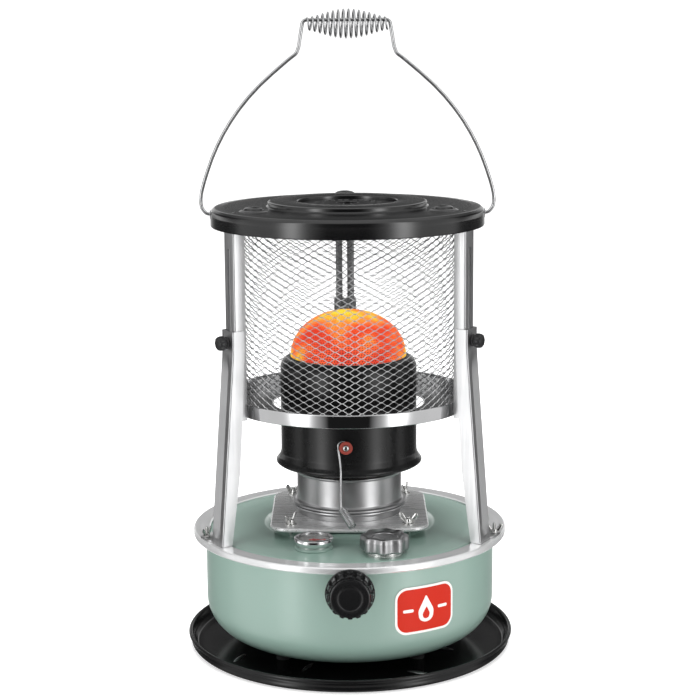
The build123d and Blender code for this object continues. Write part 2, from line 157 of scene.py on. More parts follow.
M["flame"] = metal("heat_tinted_steel", (0.30, 0.24, 0.20), (0.48, 0.44, 0.42), 0.30, 0.5, bump=0.1)
M["brass"] = metal("brass", (0.62, 0.45, 0.17), (0.75, 0.57, 0.26), 0.18, 0.30, bump=0.05)
M["dial"] = paint("dial_face", (0.46, 0.46, 0.45), (0.54, 0.54, 0.53), 0.35, 0.45, peel=0.02)
M["ink"] = paint("dial_ink", (0.02, 0.02, 0.02), (0.03, 0.03, 0.03), 0.35, 0.5, peel=0.02)
M["red"] = paint("pointer_red", (0.62, 0.03, 0.015), (0.70, 0.04, 0.02), 0.25, 0.35, peel=0.02)
M["badge_red"] = paint("badge_red", (0.55, 0.015, 0.002), (0.59, 0.018, 0.003), 0.30, 0.36, peel=0.01, spec=0.2)
M["badge_white"] = paint("badge_white", (0.86, 0.83, 0.80), (0.90, 0.87, 0.84), 0.24, 0.32, coat=0.3, coat_r=0.08, peel=0.02)
M["fibre"] = paint("red_fibre", (0.26, 0.030, 0.018), (0.36, 0.045, 0.026), 0.42, 0.60, peel=0.25, peel_scale=2200)
M["rubber"] = paint("black_rubber", (0.02, 0.02, 0.02), (0.03, 0.03, 0.03), 0.6, 0.8, peel=0.1)
M["cotton"] = paint("wick_cotton", (0.62, 0.56, 0.46), (0.72, 0.67, 0.58), 0.8, 0.95, peel=0.6, peel_scale=2500)
M["cork"] = paint("cork", (0.36, 0.22, 0.12), (0.48, 0.32, 0.18), 0.75, 0.9, peel=0.5, peel_scale=900)
M["inside_black"] = paint("inside_soot", (0.004, 0.004, 0.004), (0.008, 0.008, 0.008), 0.6, 0.8, peel=0.1)

m, nt, b = new_mat("clear_lens")
b.inputs["Base Color"].default_value = (1, 1, 1, 1)
b.inputs["Transmission Weight"].default_value = 1.0
b.inputs["IOR"].default_value = 1.18
nt.links.new(maprange(nt, noise_tex(nt, 60, 4.0), 0.0, 0.02), b.inputs["Roughness"])
M["lens"] = m


def glow_material(name, inner=False):
    """Hot perforated metal: yellow at the crown and low on the two sides, orange and red between."""
    m, nt, b = new_mat(name)
    L = nt.links
    tc = nt.nodes.new("ShaderNodeTexCoord")
    sep = nt.nodes.new("ShaderNodeSeparateXYZ")
    L.new(tc.outputs["Object"], sep.inputs[0])

    def math_node(op, a, c=None, v=None):
        n = nt.nodes.new("ShaderNodeMath")
        n.operation = op
        L.new(a, n.inputs[0]) if not isinstance(a, float) else setattr(n.inputs[0], "default_value", a)
        if c is not None:
            L.new(c, n.inputs[1])
        if v is not None:
            n.inputs[1].default_value = v
        return n.outputs[0]

    x, y, z = sep.outputs[0], sep.outputs[1], sep.outputs[2]
    ax = math_node("ABSOLUTE", x)
    side = maprange(nt, ax, 0.0, 1.0, 0.040, 0.060)
    low = maprange(nt, z, 1.0, 0.0, 0.296, 0.322)
    side = math_node("MULTIPLY", side, low)
    crown = maprange(nt, z, 0.0, 0.72, 0.322, 0.340)
    n1 = noise_tex(nt, 46, 3.0)
    n1 = maprange(nt, n1, -0.42, 0.42, 0.32, 0.68)
    t = math_node("ADD", side, crown)
    t = math_node("ADD", t, n1)
    t = maprange(nt, t, 0.0, 1.0, -0.30, 0.95)
    ramp = nt.nodes.new("ShaderNodeValToRGB")
    cr = ramp.color_ramp
    cr.elements[0].position, cr.elements[0].color = 0.0, (0.78, 0.030, 0.006, 1)
    cr.elements[1].position, cr.elements[1].color = 1.0, (1.0, 0.72, 0.030, 1)
    for p, c in ((0.22, (0.93, 0.070, 0.012)), (0.45, (1.0, 0.170, 0.030)), (0.7, (1.0, 0.33, 0.035))):
        e = cr.elements.new(p)
        e.color = (*c, 1)
    L.new(t, ramp.inputs["Fac"])
    nt.links.new(mixcol(nt, noise_tex(nt, 200), (0.08, 0.03, 0.02), (0.14, 0.05, 0.03)), b.inputs["Base Color"])
    nt.links.new(maprange(nt, noise_tex(nt, 120), 0.5, 0.7), b.inputs["Roughness"])
    L.new(ramp.outputs["Color"], b.inputs["Emission Color"])
    if inner:
        st = maprange(nt, z, 0.0, 0.92, 0.300, 0.331)
        L.new(st, b.inputs["Emission Strength"])
    else:
        b.inputs["Emission Strength"].default_value = 1.0
    return m


M["glow"] = glow_material("glowing_dome")
M["glow_in"] = glow_material("glowing_core", inner=True)

# =========================================================================
# mesh helpers (all lengths in millimetres, in the row frame)
# =========================================================================
def make(name, verts, faces, mat, body, angle=38.0, slots=None, fidx=None):
    me = bpy.data.meshes.new(name)
    me.from_pydata([(v[0] * MM, v[1] * MM, v[2] * MM) for v in verts], [], faces)
    me.validate()
    me.update()
    bm = bmesh.new()
    bm.from_mesh(me)
    bmesh.ops.remove_doubles(bm, verts=bm.verts, dist=1e-6)
    bmesh.ops.recalc_face_normals(bm, faces=bm.faces)
    bm.to_mesh(me)
    bm.free()
    for p in me.polygons:
        p.use_smooth = True
    me.set_sharp_from_angle(angle=rad(angle))
    for mm_ in (mat if isinstance(mat, (list, tuple)) else [mat]):
        me.materials.append(M[mm_])
    ob = bpy.data.objects.new(name, me)
    COL.objects.link(ob)
    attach(ob, body)
    return ob


def join_parts(parts):
    """[(verts, faces), ...] -> one (verts, faces)."""
    V, F = [], []
    for v, f in parts:
        o = len(V)
        V += [tuple(p) for p in v]
        F += [tuple(i + o for i in q) for q in f]
    return V, F


def rnd(pts, closed=True, n=5):
    """Rounds the corners of a 2-D outline; a point is (x, y) or (x, y, radius)."""
    out, K = [], len(pts)
    for i, p in enumerate(pts):
        r = p[2] if len(p) > 2 else 0
        if r <= 0 or (not closed and i in (0, K - 1)):
            out.append((p[0], p[1]))
            continue
        a, b_, c = (np.array(pts[j % K][:2], float) for j in (i - 1, i, i + 1))
        u, v = a - b_, c - b_
        lu, lv = np.linalg.norm(u), np.linalg.norm(v)
        u, v = u / lu, v / lv
        ang = math.acos(max(-1, min(1, float(u @ v))))
        if ang > math.pi - 1e-3:
            out.append((p[0], p[1]))
            continue
        t = min(r / math.tan(ang / 2), lu * 0.49, lv * 0.49)
        r = t * math.tan(ang / 2)
        w = u + v
        cen = b_ + w / np.linalg.norm(w) * (r / math.sin(ang / 2))
        s, e = b_ + u * t - cen, b_ + v * t - cen
        a0, a1 = math.atan2(s[1], s[0]), math.atan2(e[1], e[0])
        d = (a1 - a0 + math.pi) % TAU - math.pi
        for k in range(n + 1):
            q = a0 + d * k / n
            out.append((cen[0] + r * math.cos(q), cen[1] + r * math.sin(q)))
    return out


def arc(cx, cy, r, a0, a1, n=12):
    return [(cx + r * math.cos(rad(a0 + (a1 - a0) * k / n)), cy + r * math.sin(rad(a0 + (a1 - a0) * k / n))) for k in range(n + 1)]


def lathe(prof, segs=192, closed=True, radius=None, phase=0.0):
    """Turns a (r, z) outline about Z. radius(r, z, angle) may vary it round the axis."""
    V, F, rows = [], [], []
    for r, z in prof:
        if abs(r) < 1e-5:
            rows.append([len(V)])
            V.append((0, 0, z))
        else:
            s = len(V)
            for k in range(segs):
                a = TAU * k / segs + phase
                rr, zz = (r, z) if radius is None else radius(r, z, a)
                V.append((rr * math.cos(a), rr * math.sin(a), zz))
            rows.append(list(range(s, s + segs)))
    pairs = list(zip(rows, rows[1:])) + ([(rows[-1], rows[0])] if closed else [])
    for A, B in pairs:
        if len(A) == 1 and len(B) == 1:
            continue
        for k in range(segs):
            l = (k + 1) % segs
            if len(A) == 1:
                F.append((A[0], B[l], B[k]))
            elif len(B) == 1:
                F.append((A[k], A[l], B[0]))
            else:
                F.append((A[k], A[l], B[l], B[k]))
    return V, F


def xf(part, mat):
    V, F = part
    return [tuple(mat @ Vector(v)) for v in V], F


def T(x, y, z):
    return Matrix.Translation((x, y, z))


def R(deg, axis):
    return Matrix.Rotation(rad(deg), 4, axis)


def tube_path(pts, r, segs=14, closed=False, caps=True, rfun=None, flat=None, up=None):
    """Round tube along a list of 3-D points, with parallel-transported frames."""
    P = [Vector(p) for p in pts]
    K = len(P)
    tan = []
    for i in range(K):
        if closed:
            d = P[(i + 1) % K] - P[i - 1]
        else:
            d = P[min(i + 1, K - 1)] - P[max(i - 1, 0)]
        tan.append(d.normalized())
    ref = Vector(up) if up else (Vector((0, 0, 1)) if abs(tan[0].z) < 0.9 else Vector((1, 0, 0)))
    nrm = (ref - tan[0] * ref.dot(tan[0])).normalized()
    V, F = [], []
    for i in range(K):
        if i:
            nrm = (nrm - tan[i] * nrm.dot(tan[i])).normalized()
        bi = tan[i].cross(nrm)
        rr = r if rfun is None else r * rfun(i / (K - 1))
        for k in range(segs):
            a = TAU * k / segs
            ca, sa = math.cos(a), math.sin(a)
            if flat:
                ca, sa = ca * flat[0], sa * flat[1]
            V.append(tuple(P[i] + nrm * (rr * ca) + bi * (rr * sa)))
    for i in range(K if closed else K - 1):
        j = (i + 1) % K
        for k in range(segs):
            l = (k + 1) % segs
            F.append((i * segs + k, i * segs + l, j * segs + l, j * segs + k))
    if not closed and caps:
        for i, sgn in ((0, -1), (K - 1, 1)):
            c = len(V)
            rr = r if rfun is None else r * rfun(i / (K - 1))
            V.append(tuple(P[i] + tan[i] * (sgn * rr * 0.35)))
            for k in range(segs):
                l = (k + 1) % segs
                F.append((c, i * segs + k, i * segs + l) if sgn > 0 else (c, i * segs + l, i * segs + k))
    return V, F


def smooth_path(pts, steps=8, closed=False):
    """Catmull-Rom through the points."""
    P = [Vector(p) for p in pts]
    K = len(P)
    out = []
    for i in range(K if closed else K - 1):
        p0, p1, p2, p3 = (P[(i - 1) % K] if closed or i > 0 else P[0] * 2 - P[1], P[i], P[(i + 1) % K],
                          P[(i + 2) % K] if closed or i + 2 < K else P[K - 1] * 2 - P[K - 2])
        for s in range(steps):
            t = s / steps
            out.append(0.5 * ((2 * p1) + (p2 - p0) * t + (2 * p0 - 5 * p1 + 4 * p2 - p3) * t * t + (3 * p1 - p0 - 3 * p2 + p3) * t ** 3))
    if not closed:
        out.append(P[-1])
    return out


def fillet_path(pts, radii, n=10):
    """3-D polyline with its inner corners rounded."""
    P = [Vector(p) for p in pts]
    out = [P[0]]
    for i in range(1, len(P) - 1):
        a, b_, c = P[i - 1], P[i], P[i + 1]
        u, v = (a - b_), (c - b_)
        lu, lv = u.length, v.length
        u.normalize()
        v.normalize()
        ang = u.angle(v)
        r = radii[i - 1]
        t = min(r / math.tan(ang / 2), lu * 0.49, lv * 0.49)
        r = t * math.tan(ang / 2)
        cen = b_ + (u + v).normalized() * (r / math.sin(ang / 2))
        s, e = (b_ + u * t - cen), (b_ + v * t - cen)
        q = s.rotation_difference(e)
        ax, an = q.to_axis_angle()
        for k in range(n + 1):
            out.append(cen + Matrix.Rotation(an * k / n, 3, ax) @ s)
    out.append(P[-1])
    return out


def prism_loop(outline, path_fn, stations, caps=True):
    """Lofts a closed 2-D outline through stations: path_fn(u, v, s) -> 3-D point."""
    V, F, n = [], [], len(outline)
    for s in stations:
        V += [path_fn(u, v, s) for u, v in outline]
    for i in range(len(stations) - 1):
        for k in range(n):
            l = (k + 1) % n
            F.append((i * n + k, i * n + l, (i + 1) * n + l, (i + 1) * n + k))
    if caps:
        F.append(tuple(range(n))[::-1])
        F.append(tuple((len(stations) - 1) * n + k for k in range(n)))
    return V, F


def plate(outer, holes, z0, z1, cuts=None, bevel=0.0):
    """Flat plate with holes, from 2-D outlines; cuts=(step) slices it along X for wrapping. Returns (V, F)."""
    bm = bmesh.new()
    loops = [outer] + list(holes)
    edges = []
    for lp in loops:
        vs = [bm.verts.new((p[0], p[1], 0)) for p in lp]
        edges += [bm.edges.new((vs[i], vs[(i + 1) % len(vs)])) for i in range(len(vs))]
    bmesh.ops.triangle_fill(bm, use_beauty=True, use_dissolve=False, edges=edges)
    if cuts:
        x0, x1 = min(p[0] for p in outer), max(p[0] for p in outer)
        x = x0 + cuts
        while x < x1:
            bmesh.ops.bisect_plane(bm, geom=bm.verts[:] + bm.edges[:] + bm.faces[:], plane_co=(x, 0, 0), plane_no=(1, 0, 0))
            x += cuts
    bmesh.ops.recalc_face_normals(bm, faces=bm.faces)
    bm.verts.index_update()
    V2 = [(v.co.x, v.co.y) for v in bm.verts]
    F2 = [tuple(v.index for v in f.verts) for f in bm.faces]
    if F2:
        f = bm.faces[:][0]
        if f.normal.z < 0:
            F2 = [q[::-1] for q in F2]
    border = [(e.verts[0].index, e.verts[1].index, e.link_faces[0]) for e in bm.edges if len(e.link_faces) == 1]
    n = len(V2)
    V = [(x, y, z0) for x, y in V2] + [(x, y, z1) for x, y in V2]
    F = [q[::-1] for q in F2] + [tuple(i + n for i in q) for q in F2]
    for a, b_, _ in border:
        F.append((a, b_, b_ + n, a + n))
    bm.free()
    return V, F


def circle(cx, cy, r, n=48):
    return [(cx + r * math.cos(TAU * k / n), cy + r * math.sin(TAU * k / n)) for k in range(n)]


def rounded_rect(w, h, r, n=10, cx=0, cy=0):
    return rnd([(cx - w / 2, cy - h / 2, r), (cx + w / 2, cy - h / 2, r), (cx + w / 2, cy + h / 2, r), (cx - w / 2, cy + h / 2, r)], n=n)


def paint_node(node, mat):
    o = N[node]
    for i in range(len(o.material_slots)):
        o.material_slots[i].material = M[mat]


# =========================================================================
# tray and tank
# =========================================================================
tray_prof = [(0, 0)] + rnd([(153, 0, 2), (160.2, 0.6, 3), (162.6, 3.6, 2.4), (162.4, 6.0, 1.6), (160.9, 8.2, 1.2), (161.6, 10.2, 0.6)], closed=False) + arc(163.1, 12.1, 1.9, -140, 190, 18) \
    + rnd([(160.2, 10.4, 1.0), (159.0, 5.0, 2.5), (155.6, 1.6, 3), (150.0, 1.4, 3)], closed=False) + [(90, 1.4), (0, 1.4)]
o = make("tray", *lathe(tray_prof, 256, closed=False), "tray_black", "base")
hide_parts("base_tray")
# embossed ribs on the black tray floor, given the light grey cast finish as a painted glint: the grey stands in for
# highlights off the ribs
ribs = []
for k, (px_, py_) in enumerate([(-110, -66), (-42, -93), (0, 0)][:2]):
    a = math.degrees(math.atan2(py_, px_))
    rr = math.hypot(px_, py_)
    for j in range(4):
        ribs.append(xf(lathe([(0, 2.5), (1.3, 2.35), (2.2, 1.7), (2.5, 1.2)], 20, closed=False), R(a + 90 * j, "Z") @ T(rr, 0, 0) @ R((35, 0)[k], "Z") @ Matrix.Diagonal((5.0, 1, 1.1, 1))))
o = make("tray_ribs_painted_glint", *join_parts(ribs), "cap_grey", "base")

bowl_prof = [(39.9, 13.5), (60, 13.5)] + arc(107.5, 51.5, 38, -90, 0, 22) + [(145.5, 90)] + rnd([(145.5, 116.4, 0.8), (156, 116.8)], closed=False) + [(156, 118), (144.5, 118), (144.5, 51.5)] \
    + arc(107.5, 51.5, 37, 0, -90, 16) + [(39.9, 14.5)]
o = make("tank_shell", *lathe(bowl_prof, 256), "green", "base")
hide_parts(*[n for n in ("tank_bowl", "tank_wall") if n in N])

cover_prof = rnd([(156, 118.0), (156, 119.2), (140.4, 119.2, 1.0), (137.6, 121.0, 2.5), (120, 122.6, 30), (99, 123.7, 20), (85.6, 124.2, 6), (80.8, 127.0, 3), (76.6, 130.7, 4.5), (60, 130.7), (48.4, 130.7),
                  (48.4, 129.7), (76, 129.7, 3), (79.8, 126.4, 2), (85.2, 123.0, 6), (99, 122.5, 5), (137.2, 119.7, 2), (139.9, 118.0)], n=8)
o = make("tank_cover_panel", *lathe(cover_prof, 256), "green", "base")
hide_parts("tank_cover")

band_prof = rnd([(146.2, 114.8, 0.4), (156.6, 114.8, 1.4), (158, 116.2, 1.0), (158, 120.4, 1.2), (156.9, 121.8, 1.2), (151.0, 121.55, 2), (142.2, 121.75, 1.2), (140.6, 121.0, 0.6), (140.6, 119.4, 0.3),
                 (156.2, 119.4), (156.2, 116.6), (146.2, 116.6, 0.3)], n=6)
o = make("seam_band", *lathe(band_prof, 320), "band", "base")
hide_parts("rim_band")

# badge: white-edged rounded plate wrapped on the tank, with a plain drop in place of any wording
def wrap(part, az, zc, r0, lift=0.0):
    V, F = part
    return [((r0 + w + lift) * math.cos(rad(az) + x / 145.5), (r0 + w + lift) * math.sin(rad(az) + x / 145.5), zc + z) for x, z, w in V], F


BW, BH = 65.0, 46.5
o = make("badge_plate", *wrap(plate(rounded_rect(BW, BH, 12), [], 0, 0.55, cuts=1.5), 299.7, 71.8, 145.62), "badge_white", "base")
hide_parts("badge")
make("badge_field", *wrap(plate(rounded_rect(BW - 4.6, BH - 4.6, 10), [], 0, 0.12, cuts=1.5), 299.7, 71.8, 146.17), "badge_red", "base")
drop = rnd([(0, 14, 0.8), (8.6, -1.5, 8), (7.4, -10.5, 6.5), (0, -13.2, 8), (-7.4, -10.5, 6.5), (-8.6, -1.5, 8)], n=8)
inner = rnd([(0.6, 2.5, 0.6), (4.2, -4.6, 3), (3.2, -8.6, 2.6), (0, -9.8, 3), (-3.2, -8.6, 2.6), (-4.0, -4.6, 3)], n=6)
make("badge_drop", *wrap(plate(drop, [inner], 0, 0.10, cuts=1.0), 299.7, 71.8, 146.29), "badge_white", "base")
for sx in (-1, 1):
    make("badge_bar_" + ("l" if sx < 0 else "r"), *wrap(plate(rounded_rect(11, 3.0, 1.4, cx=sx * 19.0, cy=0), [], 0, 0.10, cuts=1.0), 299.7, 71.8, 146.29), "badge_white", "base")

# =========================================================================
# filler cap, gauge
# =========================================================================
FX, FY = 33.4, -109.0
GX, GY = -34.7, -95.0


def lobes(n, depth_of, power=1.0, phase=0.0):
    """Radius cut round the rim: depth_of(r, z) deep at the grooves, nothing on the lobes."""
    def f(r, z, a):
        g = 0.5 - 0.5 * math.cos(n * (a + phase))
        return (r - depth_of(r, z) * g ** power, z)
    return f


cap_prof = rnd([(19.0, 124.7, 0.5), (21.8, 124.7, 0.9), (22.9, 126.0, 1.0), (23.0, 133.4, 1.5), (21.9, 136.6, 1.6), (19.4, 137.0, 1.2), (16.0, 135.6, 3), (13.0, 135.0, 1.0), (11.6, 135.4, 0.5), (11.2, 134.6, 0.4), (0, 134.5)], closed=False, n=6)
under = [(0, 133.9), (18.9, 133.9), (18.9, 126.0), (19.0, 124.7)]
dep = lambda r, z: 2.5 * min(1, max(0, (r - 14.5) / 6.0))
o = make("filler_lid", *xf(lathe(cap_prof + under, 256, closed=False, radius=lobes(8, dep, 1.0, phase=rad(4))), T(FX, FY, 125.7) @ Matrix.Diagonal((1.03, 1.03, 1.2, 1)) @ T(0, 0, -124.7)), "cap_grey", "filler_cap", angle=50)
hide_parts("filler_cap")
raised = []
for k in range(10):
    a = rad(-150 + k * 13)
    raised.append(xf(lathe([(0, 135.15), (0.45, 135.05), (0.6, 134.6)], 10, closed=False), T(FX + 8.4 * math.cos(a), FY + 8.4 * math.sin(a), 3.05)))
make("filler_lid_studs", *join_parts(raised), "cap_grey", "filler_cap")
neck = rnd([(17.0, 121.0), (18.9, 121.0, 0.3), (18.9, 123.9, 0.4), (18.45, 124.4, 0.3), (18.45, 132.6, 0.4), (17.0, 133.0, 0.4)], n=4)
make("filler_seat", *xf(lathe(neck, 96), T(FX, FY, 0)), "zinc", "base")
thread = [(18.4 * math.cos(TAU * t), 18.4 * math.sin(TAU * t), 126.0 + 2.0 * t) for t in np.linspace(0, 2.6, 160)]
make("filler_thread", *xf(tube_path([(p[0], p[1], p[2]) for p in thread], 0.40, 8), T(FX, FY, 0)), "zinc", "base")

bez = rnd([(15.9, 130.9, 0.4), (16.3, 131.5, 0.5), (17.6, 131.9, 0.8), (19.0, 131.0, 1.4), (19.5, 128.6, 1.2), (18.5, 125.9, 1.6), (16.4, 123.2, 0.8), (15.0, 123.0), (15.0, 127.0), (17.0, 127.0), (17.0, 130.7)], n=6)
o = make("gauge_rim", *xf(lathe(bez, 144), T(GX, GY, 2.6)), "chrome", "base")
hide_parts("gauge_bezel")
make("gauge_foot", *xf(lathe(rnd([(9, 122.6), (18.6, 122.6, 1), (18.2, 124.6, 1), (17.0, 125.8), (9, 125.8)], n=5), 96), T(GX, GY, 0)), "green", "base")
dial_prof = rnd([(0, 127.0), (16.9, 127.0), (16.9, 127.7, 0.2), (0, 127.7)], closed=False)
o = make("gauge_face", *xf(lathe(dial_prof, 96, closed=False), T(GX, GY, 2.6)), "dial", "base")
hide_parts("gauge_dial")
ticks = []
for k in range(7):
    a = rad(0 + 15 * k)
    w_, l_ = (0.7, 3.4) if k in (0, 6) else (0.42, 2.0)
    V, F = plate([(14.6 - l_, -w_), (14.6, -w_), (14.6, w_), (14.6 - l_, w_)], [], 127.7, 127.78)
    ticks.append(xf((V, F), T(GX, GY, 2.6) @ Matrix.Rotation(-a, 4, "Z")))
make("gauge_ticks", *join_parts(ticks), "ink", "base")
sect = [(9.6 * math.cos(rad(a)), 9.6 * math.sin(rad(a))) for a in range(-8, 29, 3)] + [(12.0 * math.cos(rad(a)), 12.0 * math.sin(rad(a))) for a in range(28, -9, -3)]
make("gauge_zone", *xf(plate(sect, [], 127.7, 127.78), T(GX, GY, 2.6)), "red", "base")
ptr = rnd([(-4.6, -1.3, 0.5), (0, -1.5, 1), (11.6, -0.35, 0.2), (11.6, 0.35, 0.2), (0, 1.5, 1), (-4.6, 1.3, 0.5)], n=4)
pp = [plate(ptr, [], 128.05, 128.5), lathe(rnd([(0.96, 128.0), (2.2, 128.0), (2.2, 128.9, 0.4), (0.96, 129.1)], n=3), 32)]
o = make("gauge_needle", *xf(join_parts(pp), T(GX, GY, 2.6)), "red", "gauge_pointer")
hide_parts("gauge_pointer")
lens_prof = [(0, 130.9)] + [(r, 130.9 - 0.9 * (r / 16.9) ** 2) for r in (4, 8, 12, 15, 16.9)] + [(16.9, 129.5)] + [(r, 130.3 - 0.9 * (r / 16.9) ** 2) for r in (15, 12, 8, 4)] + [(0, 130.3)]
o = make("gauge_glass", *xf(lathe(lens_prof, 96, closed=False), T(GX, GY, 2.6)), "lens", "base")
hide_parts("gauge_lens")

# =========================================================================
# knob
# =========================================================================
KZ = 98.3


def flute_knob(stations, n, groove, segs_per=14):
    """Stations (axial, radius, groove depth) along +Z; grooves with rounded floors."""
    segs = n * segs_per
    V, F = [], []
    for s, r, d in stations:
        for k in range(segs):
            a = TAU * k / segs
            ph = (k % segs_per) / segs_per
            g = max(0.0, 1 - abs(ph - 0.5) / (groove / 2))
            g = math.sin(min(1, g * 1.5) * math.pi / 2)
            rr = max(0.01, r - d * g)
            V.append((rr * math.cos(a), rr * math.sin(a), s))
    for i in range(len(stations) - 1):
        for k in range(segs):
            l = (k + 1) % segs
            F.append((i * segs + k, i * segs + l, (i + 1) * segs + l, (i + 1) * segs + k))
    F.append(tuple(range(segs))[::-1])
    F.append(tuple((len(stations) - 1) * segs + k for k in range(segs)))
    return V, F


to_front = T(0, 0, KZ) @ R(90, "X")          # local +Z -> -Y
st = [(160.0, 9, 0), (160.0, 22.6, 0), (160.4, 23.3, 0), (161.4, 23.5, 0), (162.6, 23.4, 0), (163.2, 22.9, 0), (163.4, 22.5, 0.6), (163.7, 22.4, 2.2), (164.2, 22.35, 2.5), (168.0, 22.2, 2.5),
      (172.0, 21.8, 2.3), (173.4, 21.3, 2.0), (174.2, 20.6, 1.2), (174.6, 19.9, 0.3), (174.7, 19.3, 0), (174.7, 18.7, 0), (175.0, 18.9, 0), (176.6, 18.9, 0), (177.4, 18.5, 0), (177.9, 17.6, 0), (178.0, 16.4, 0), (178.0, 13.2, 0),
      (177.8, 12.5, 0), (177.0, 12.0, 0), (176.7, 11.4, 0), (177.0, 10.6, 0), (177.2, 9.4, 0), (177.3, 5.0, 0), (177.35, 0.02, 0)]
o = make("wick_knob", *xf(flute_knob(st, 16, 0.52), to_front), "knob_black", "knob_shaft", angle=32)
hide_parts("knob")

# =========================================================================
# adjuster plate, studs, wing nuts, collars
# =========================================================================
W2, H2 = 77.5, 75.0
front_bow = [(-W2, -H2 + 4, 17), (-30, -H2 - 0.4, 60), (30, -H2 - 0.4, 60), (W2, -H2 + 4, 17), (W2, H2 - 4, 17), (30, H2 + 0.0, 60), (-30, H2 + 0.0, 60), (-W2, H2 - 4, 17)]
pl_out = rnd(front_bow, n=12)
holes = [circle(0, 0, 48.4, 128)] + [circle(sx * 58, sy * 58, 2.3, 20) for sx in (-1, 1) for sy in (-1, 1)]
V, F = plate(pl_out, holes, 133.9, 135.6)
top_in = rnd([(x * 0.992, y * 0.992, r) for x, y, r in front_bow], n=12)
Vt, Ft = plate(top_in, holes, 135.2, 136.0)
edge_prof = []
o = make("adjuster_sheet", *join_parts([(V, F), (Vt, Ft)]), "plate", "base", angle=30)
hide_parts("adjuster_plate")
# rolled edge of the plate
loop = [Vector((x, y, 133.9)) for x, y in rnd([(x * 0.985, y * 0.985, r) for x, y, r in front_bow], n=12)]
make("adjuster_roll", *tube_path(loop, 2.05, 14, closed=True), "plate", "base")


def wing_nut(scale=1.0):
    base = lathe(rnd([(0.3, 0, 0), (5.0, 0, 0.5), (5.2, 1.2, 0.6), (4.2, 2.6, 1.0), (3.5, 5.4, 0.8), (2.2, 6.1, 0.4), (2.2, 5.4), (0.3, 5.4)], n=4), 40)
    parts = [base]
    for s in (-1, 1):
        pts = smooth_path([(s * 2.6, 0, 2.6), (s * 5.2, 0, 4.2), (s * 7.6, 0, 7.2), (s * 9.4, 0, 10.6), (s * 10.2, 0, 13.0)], 6)
        parts.append(tube_path(pts, 2.6, 14, rfun=lambda t: (0.78 + 0.42 * math.sin(math.pi * min(1, t * 1.05))) * (1.0 if t < 0.9 else math.sqrt(max(0.05, 1 - ((t - 0.9) / 0.105) ** 2))), flat=(1.0, 0.36), up=(0, 0, 1)))
    V, F = join_parts(parts)
    return [(x * scale, y * scale, z * scale) for x, y, z in V], F


def stud(r, z0, z1):
    prof = [(0, z0)]
    z, k = z0, 0
    prof.append((r * 0.86, z0))
    while z < z1 - 0.9:
        prof += [(r, z + 0.18), (r * 0.86, z + 0.45)]
        z += 0.7
    prof += [(r * 0.8, z1 - 0.2), (r * 0.55, z1), (0, z1)]
    return lathe(prof, 24, closed=False)


parts_n, parts_s, parts_w = [], [], []
for sx, sy, a in ((-1, -1, 56), (1, -1, -12), (-1, 1, 35), (1, 1, 70)):
    parts_n.append(xf(wing_nut(0.80), T(sx * 58, sy * 58, 136.9) @ R(a, "Z")))
    parts_w.append(xf(lathe(rnd([(2.3, 136.0), (6.2, 136.0, 0.2), (6.2, 136.9, 0.3), (2.3, 136.9)], n=3), 40), T(sx * 58, sy * 58, 0)))
    parts_s.append(xf(stud(1.7, 124, 143.5), T(sx * 58, sy * 58, 0)))
o = make("plate_wing_nuts", *join_parts(parts_n + parts_w), "zinc", "base")
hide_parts("wing_nuts")
o = make("plate_stud_threads", *join_parts(parts_s), "zinc", "base", angle=20)
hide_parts("plate_studs")

pn, ps = [], []
for k, a in LEG_AZ.items():
    pn.append(xf(wing_nut(0.70), R(a, "Z") @ T(149, SIGN[k] * 26, 123.6) @ R(30, "Z")))
    ps.append(xf(stud(1.7, 121.6, 133.5), R(a, "Z") @ T(149, SIGN[k] * 26, 0)))
o = make("foot_wing_nuts", *join_parts(pn), "zinc", "base")
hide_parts("foot_nuts")
o = make("foot_stud_threads", *join_parts(ps), "zinc", "base", angle=20)
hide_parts("foot_studs")

adj = rnd([(48.4, 136.0), (52.6, 136.0, 0.4), (52.6, 141.6, 1.4), (56.4, 142.6, 0.4), (57.4, 143.8, 0.8), (57.0, 145.2, 0.6), (55.0, 145.5, 0.3), (48.4, 145.5)], n=5)
o = make("adjuster_ring", *lathe(adj, 192), "collar", "base")
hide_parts("adjuster_collar")
col = rnd([(51.4, 145.9), (57.0, 145.9, 0.4), (57.9, 147.0, 0.8), (57.2, 148.2, 0.5), (54.4, 148.5, 1.2), (52.7, 150.8, 2.2), (52.6, 160), (52.6, 176.6, 0.8), (53.4, 177.5, 0.7), (53.9, 178.7, 0.8), (53.0, 179.7, 0.5), (51.4, 179.7, 0.2)], n=6)
o = make("collar_shell", *lathe(col, 192), "collar", "burner_collar")
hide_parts("burner_collar")

# =========================================================================
# burner drum and glowing dome
# =========================================================================
drum = [(49.5, 180.0), (51.1, 180.0), (51.1, 183.9)] + rnd([(56.0, 183.9, 3), (63.5, 184.2, 6), (70.0, 185.6, 6), (73.2, 187.8, 1.6), (73.4, 189.6, 1.6), (70.4, 193.0, 5), (68.3, 198.5, 7), (68.2, 205), ], closed=False, n=8) \
    + [(68.2, 240), (68.2, 276)] + arc(57.2, 283.6, 11.0, 0, 90, 14) + [(57.2, 293.6)] + rnd([(57.2, 282.0, 1), (67.0, 278.0, 4), (67.0, 198, 6), (71.4, 188.9, 2), (60.0, 185.4, 4), (49.5, 185.2)], closed=False, n=4)
o = make("drum_shell", *lathe(drum, 224), "drum_black", "burner")
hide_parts("burner_case")
# rolled lip round the mouth of the drum
lip = [(58.9 * math.cos(TAU * k / 160), 58.9 * math.sin(TAU * k / 160), 294.0) for k in range(160)]
make("drum_lip", *tube_path(lip, 0.9, 10, closed=True), "drum_black", "burner")

DR, DZ, DTOP = 57.8, 294.8, 340.3
DH = DTOP - DZ


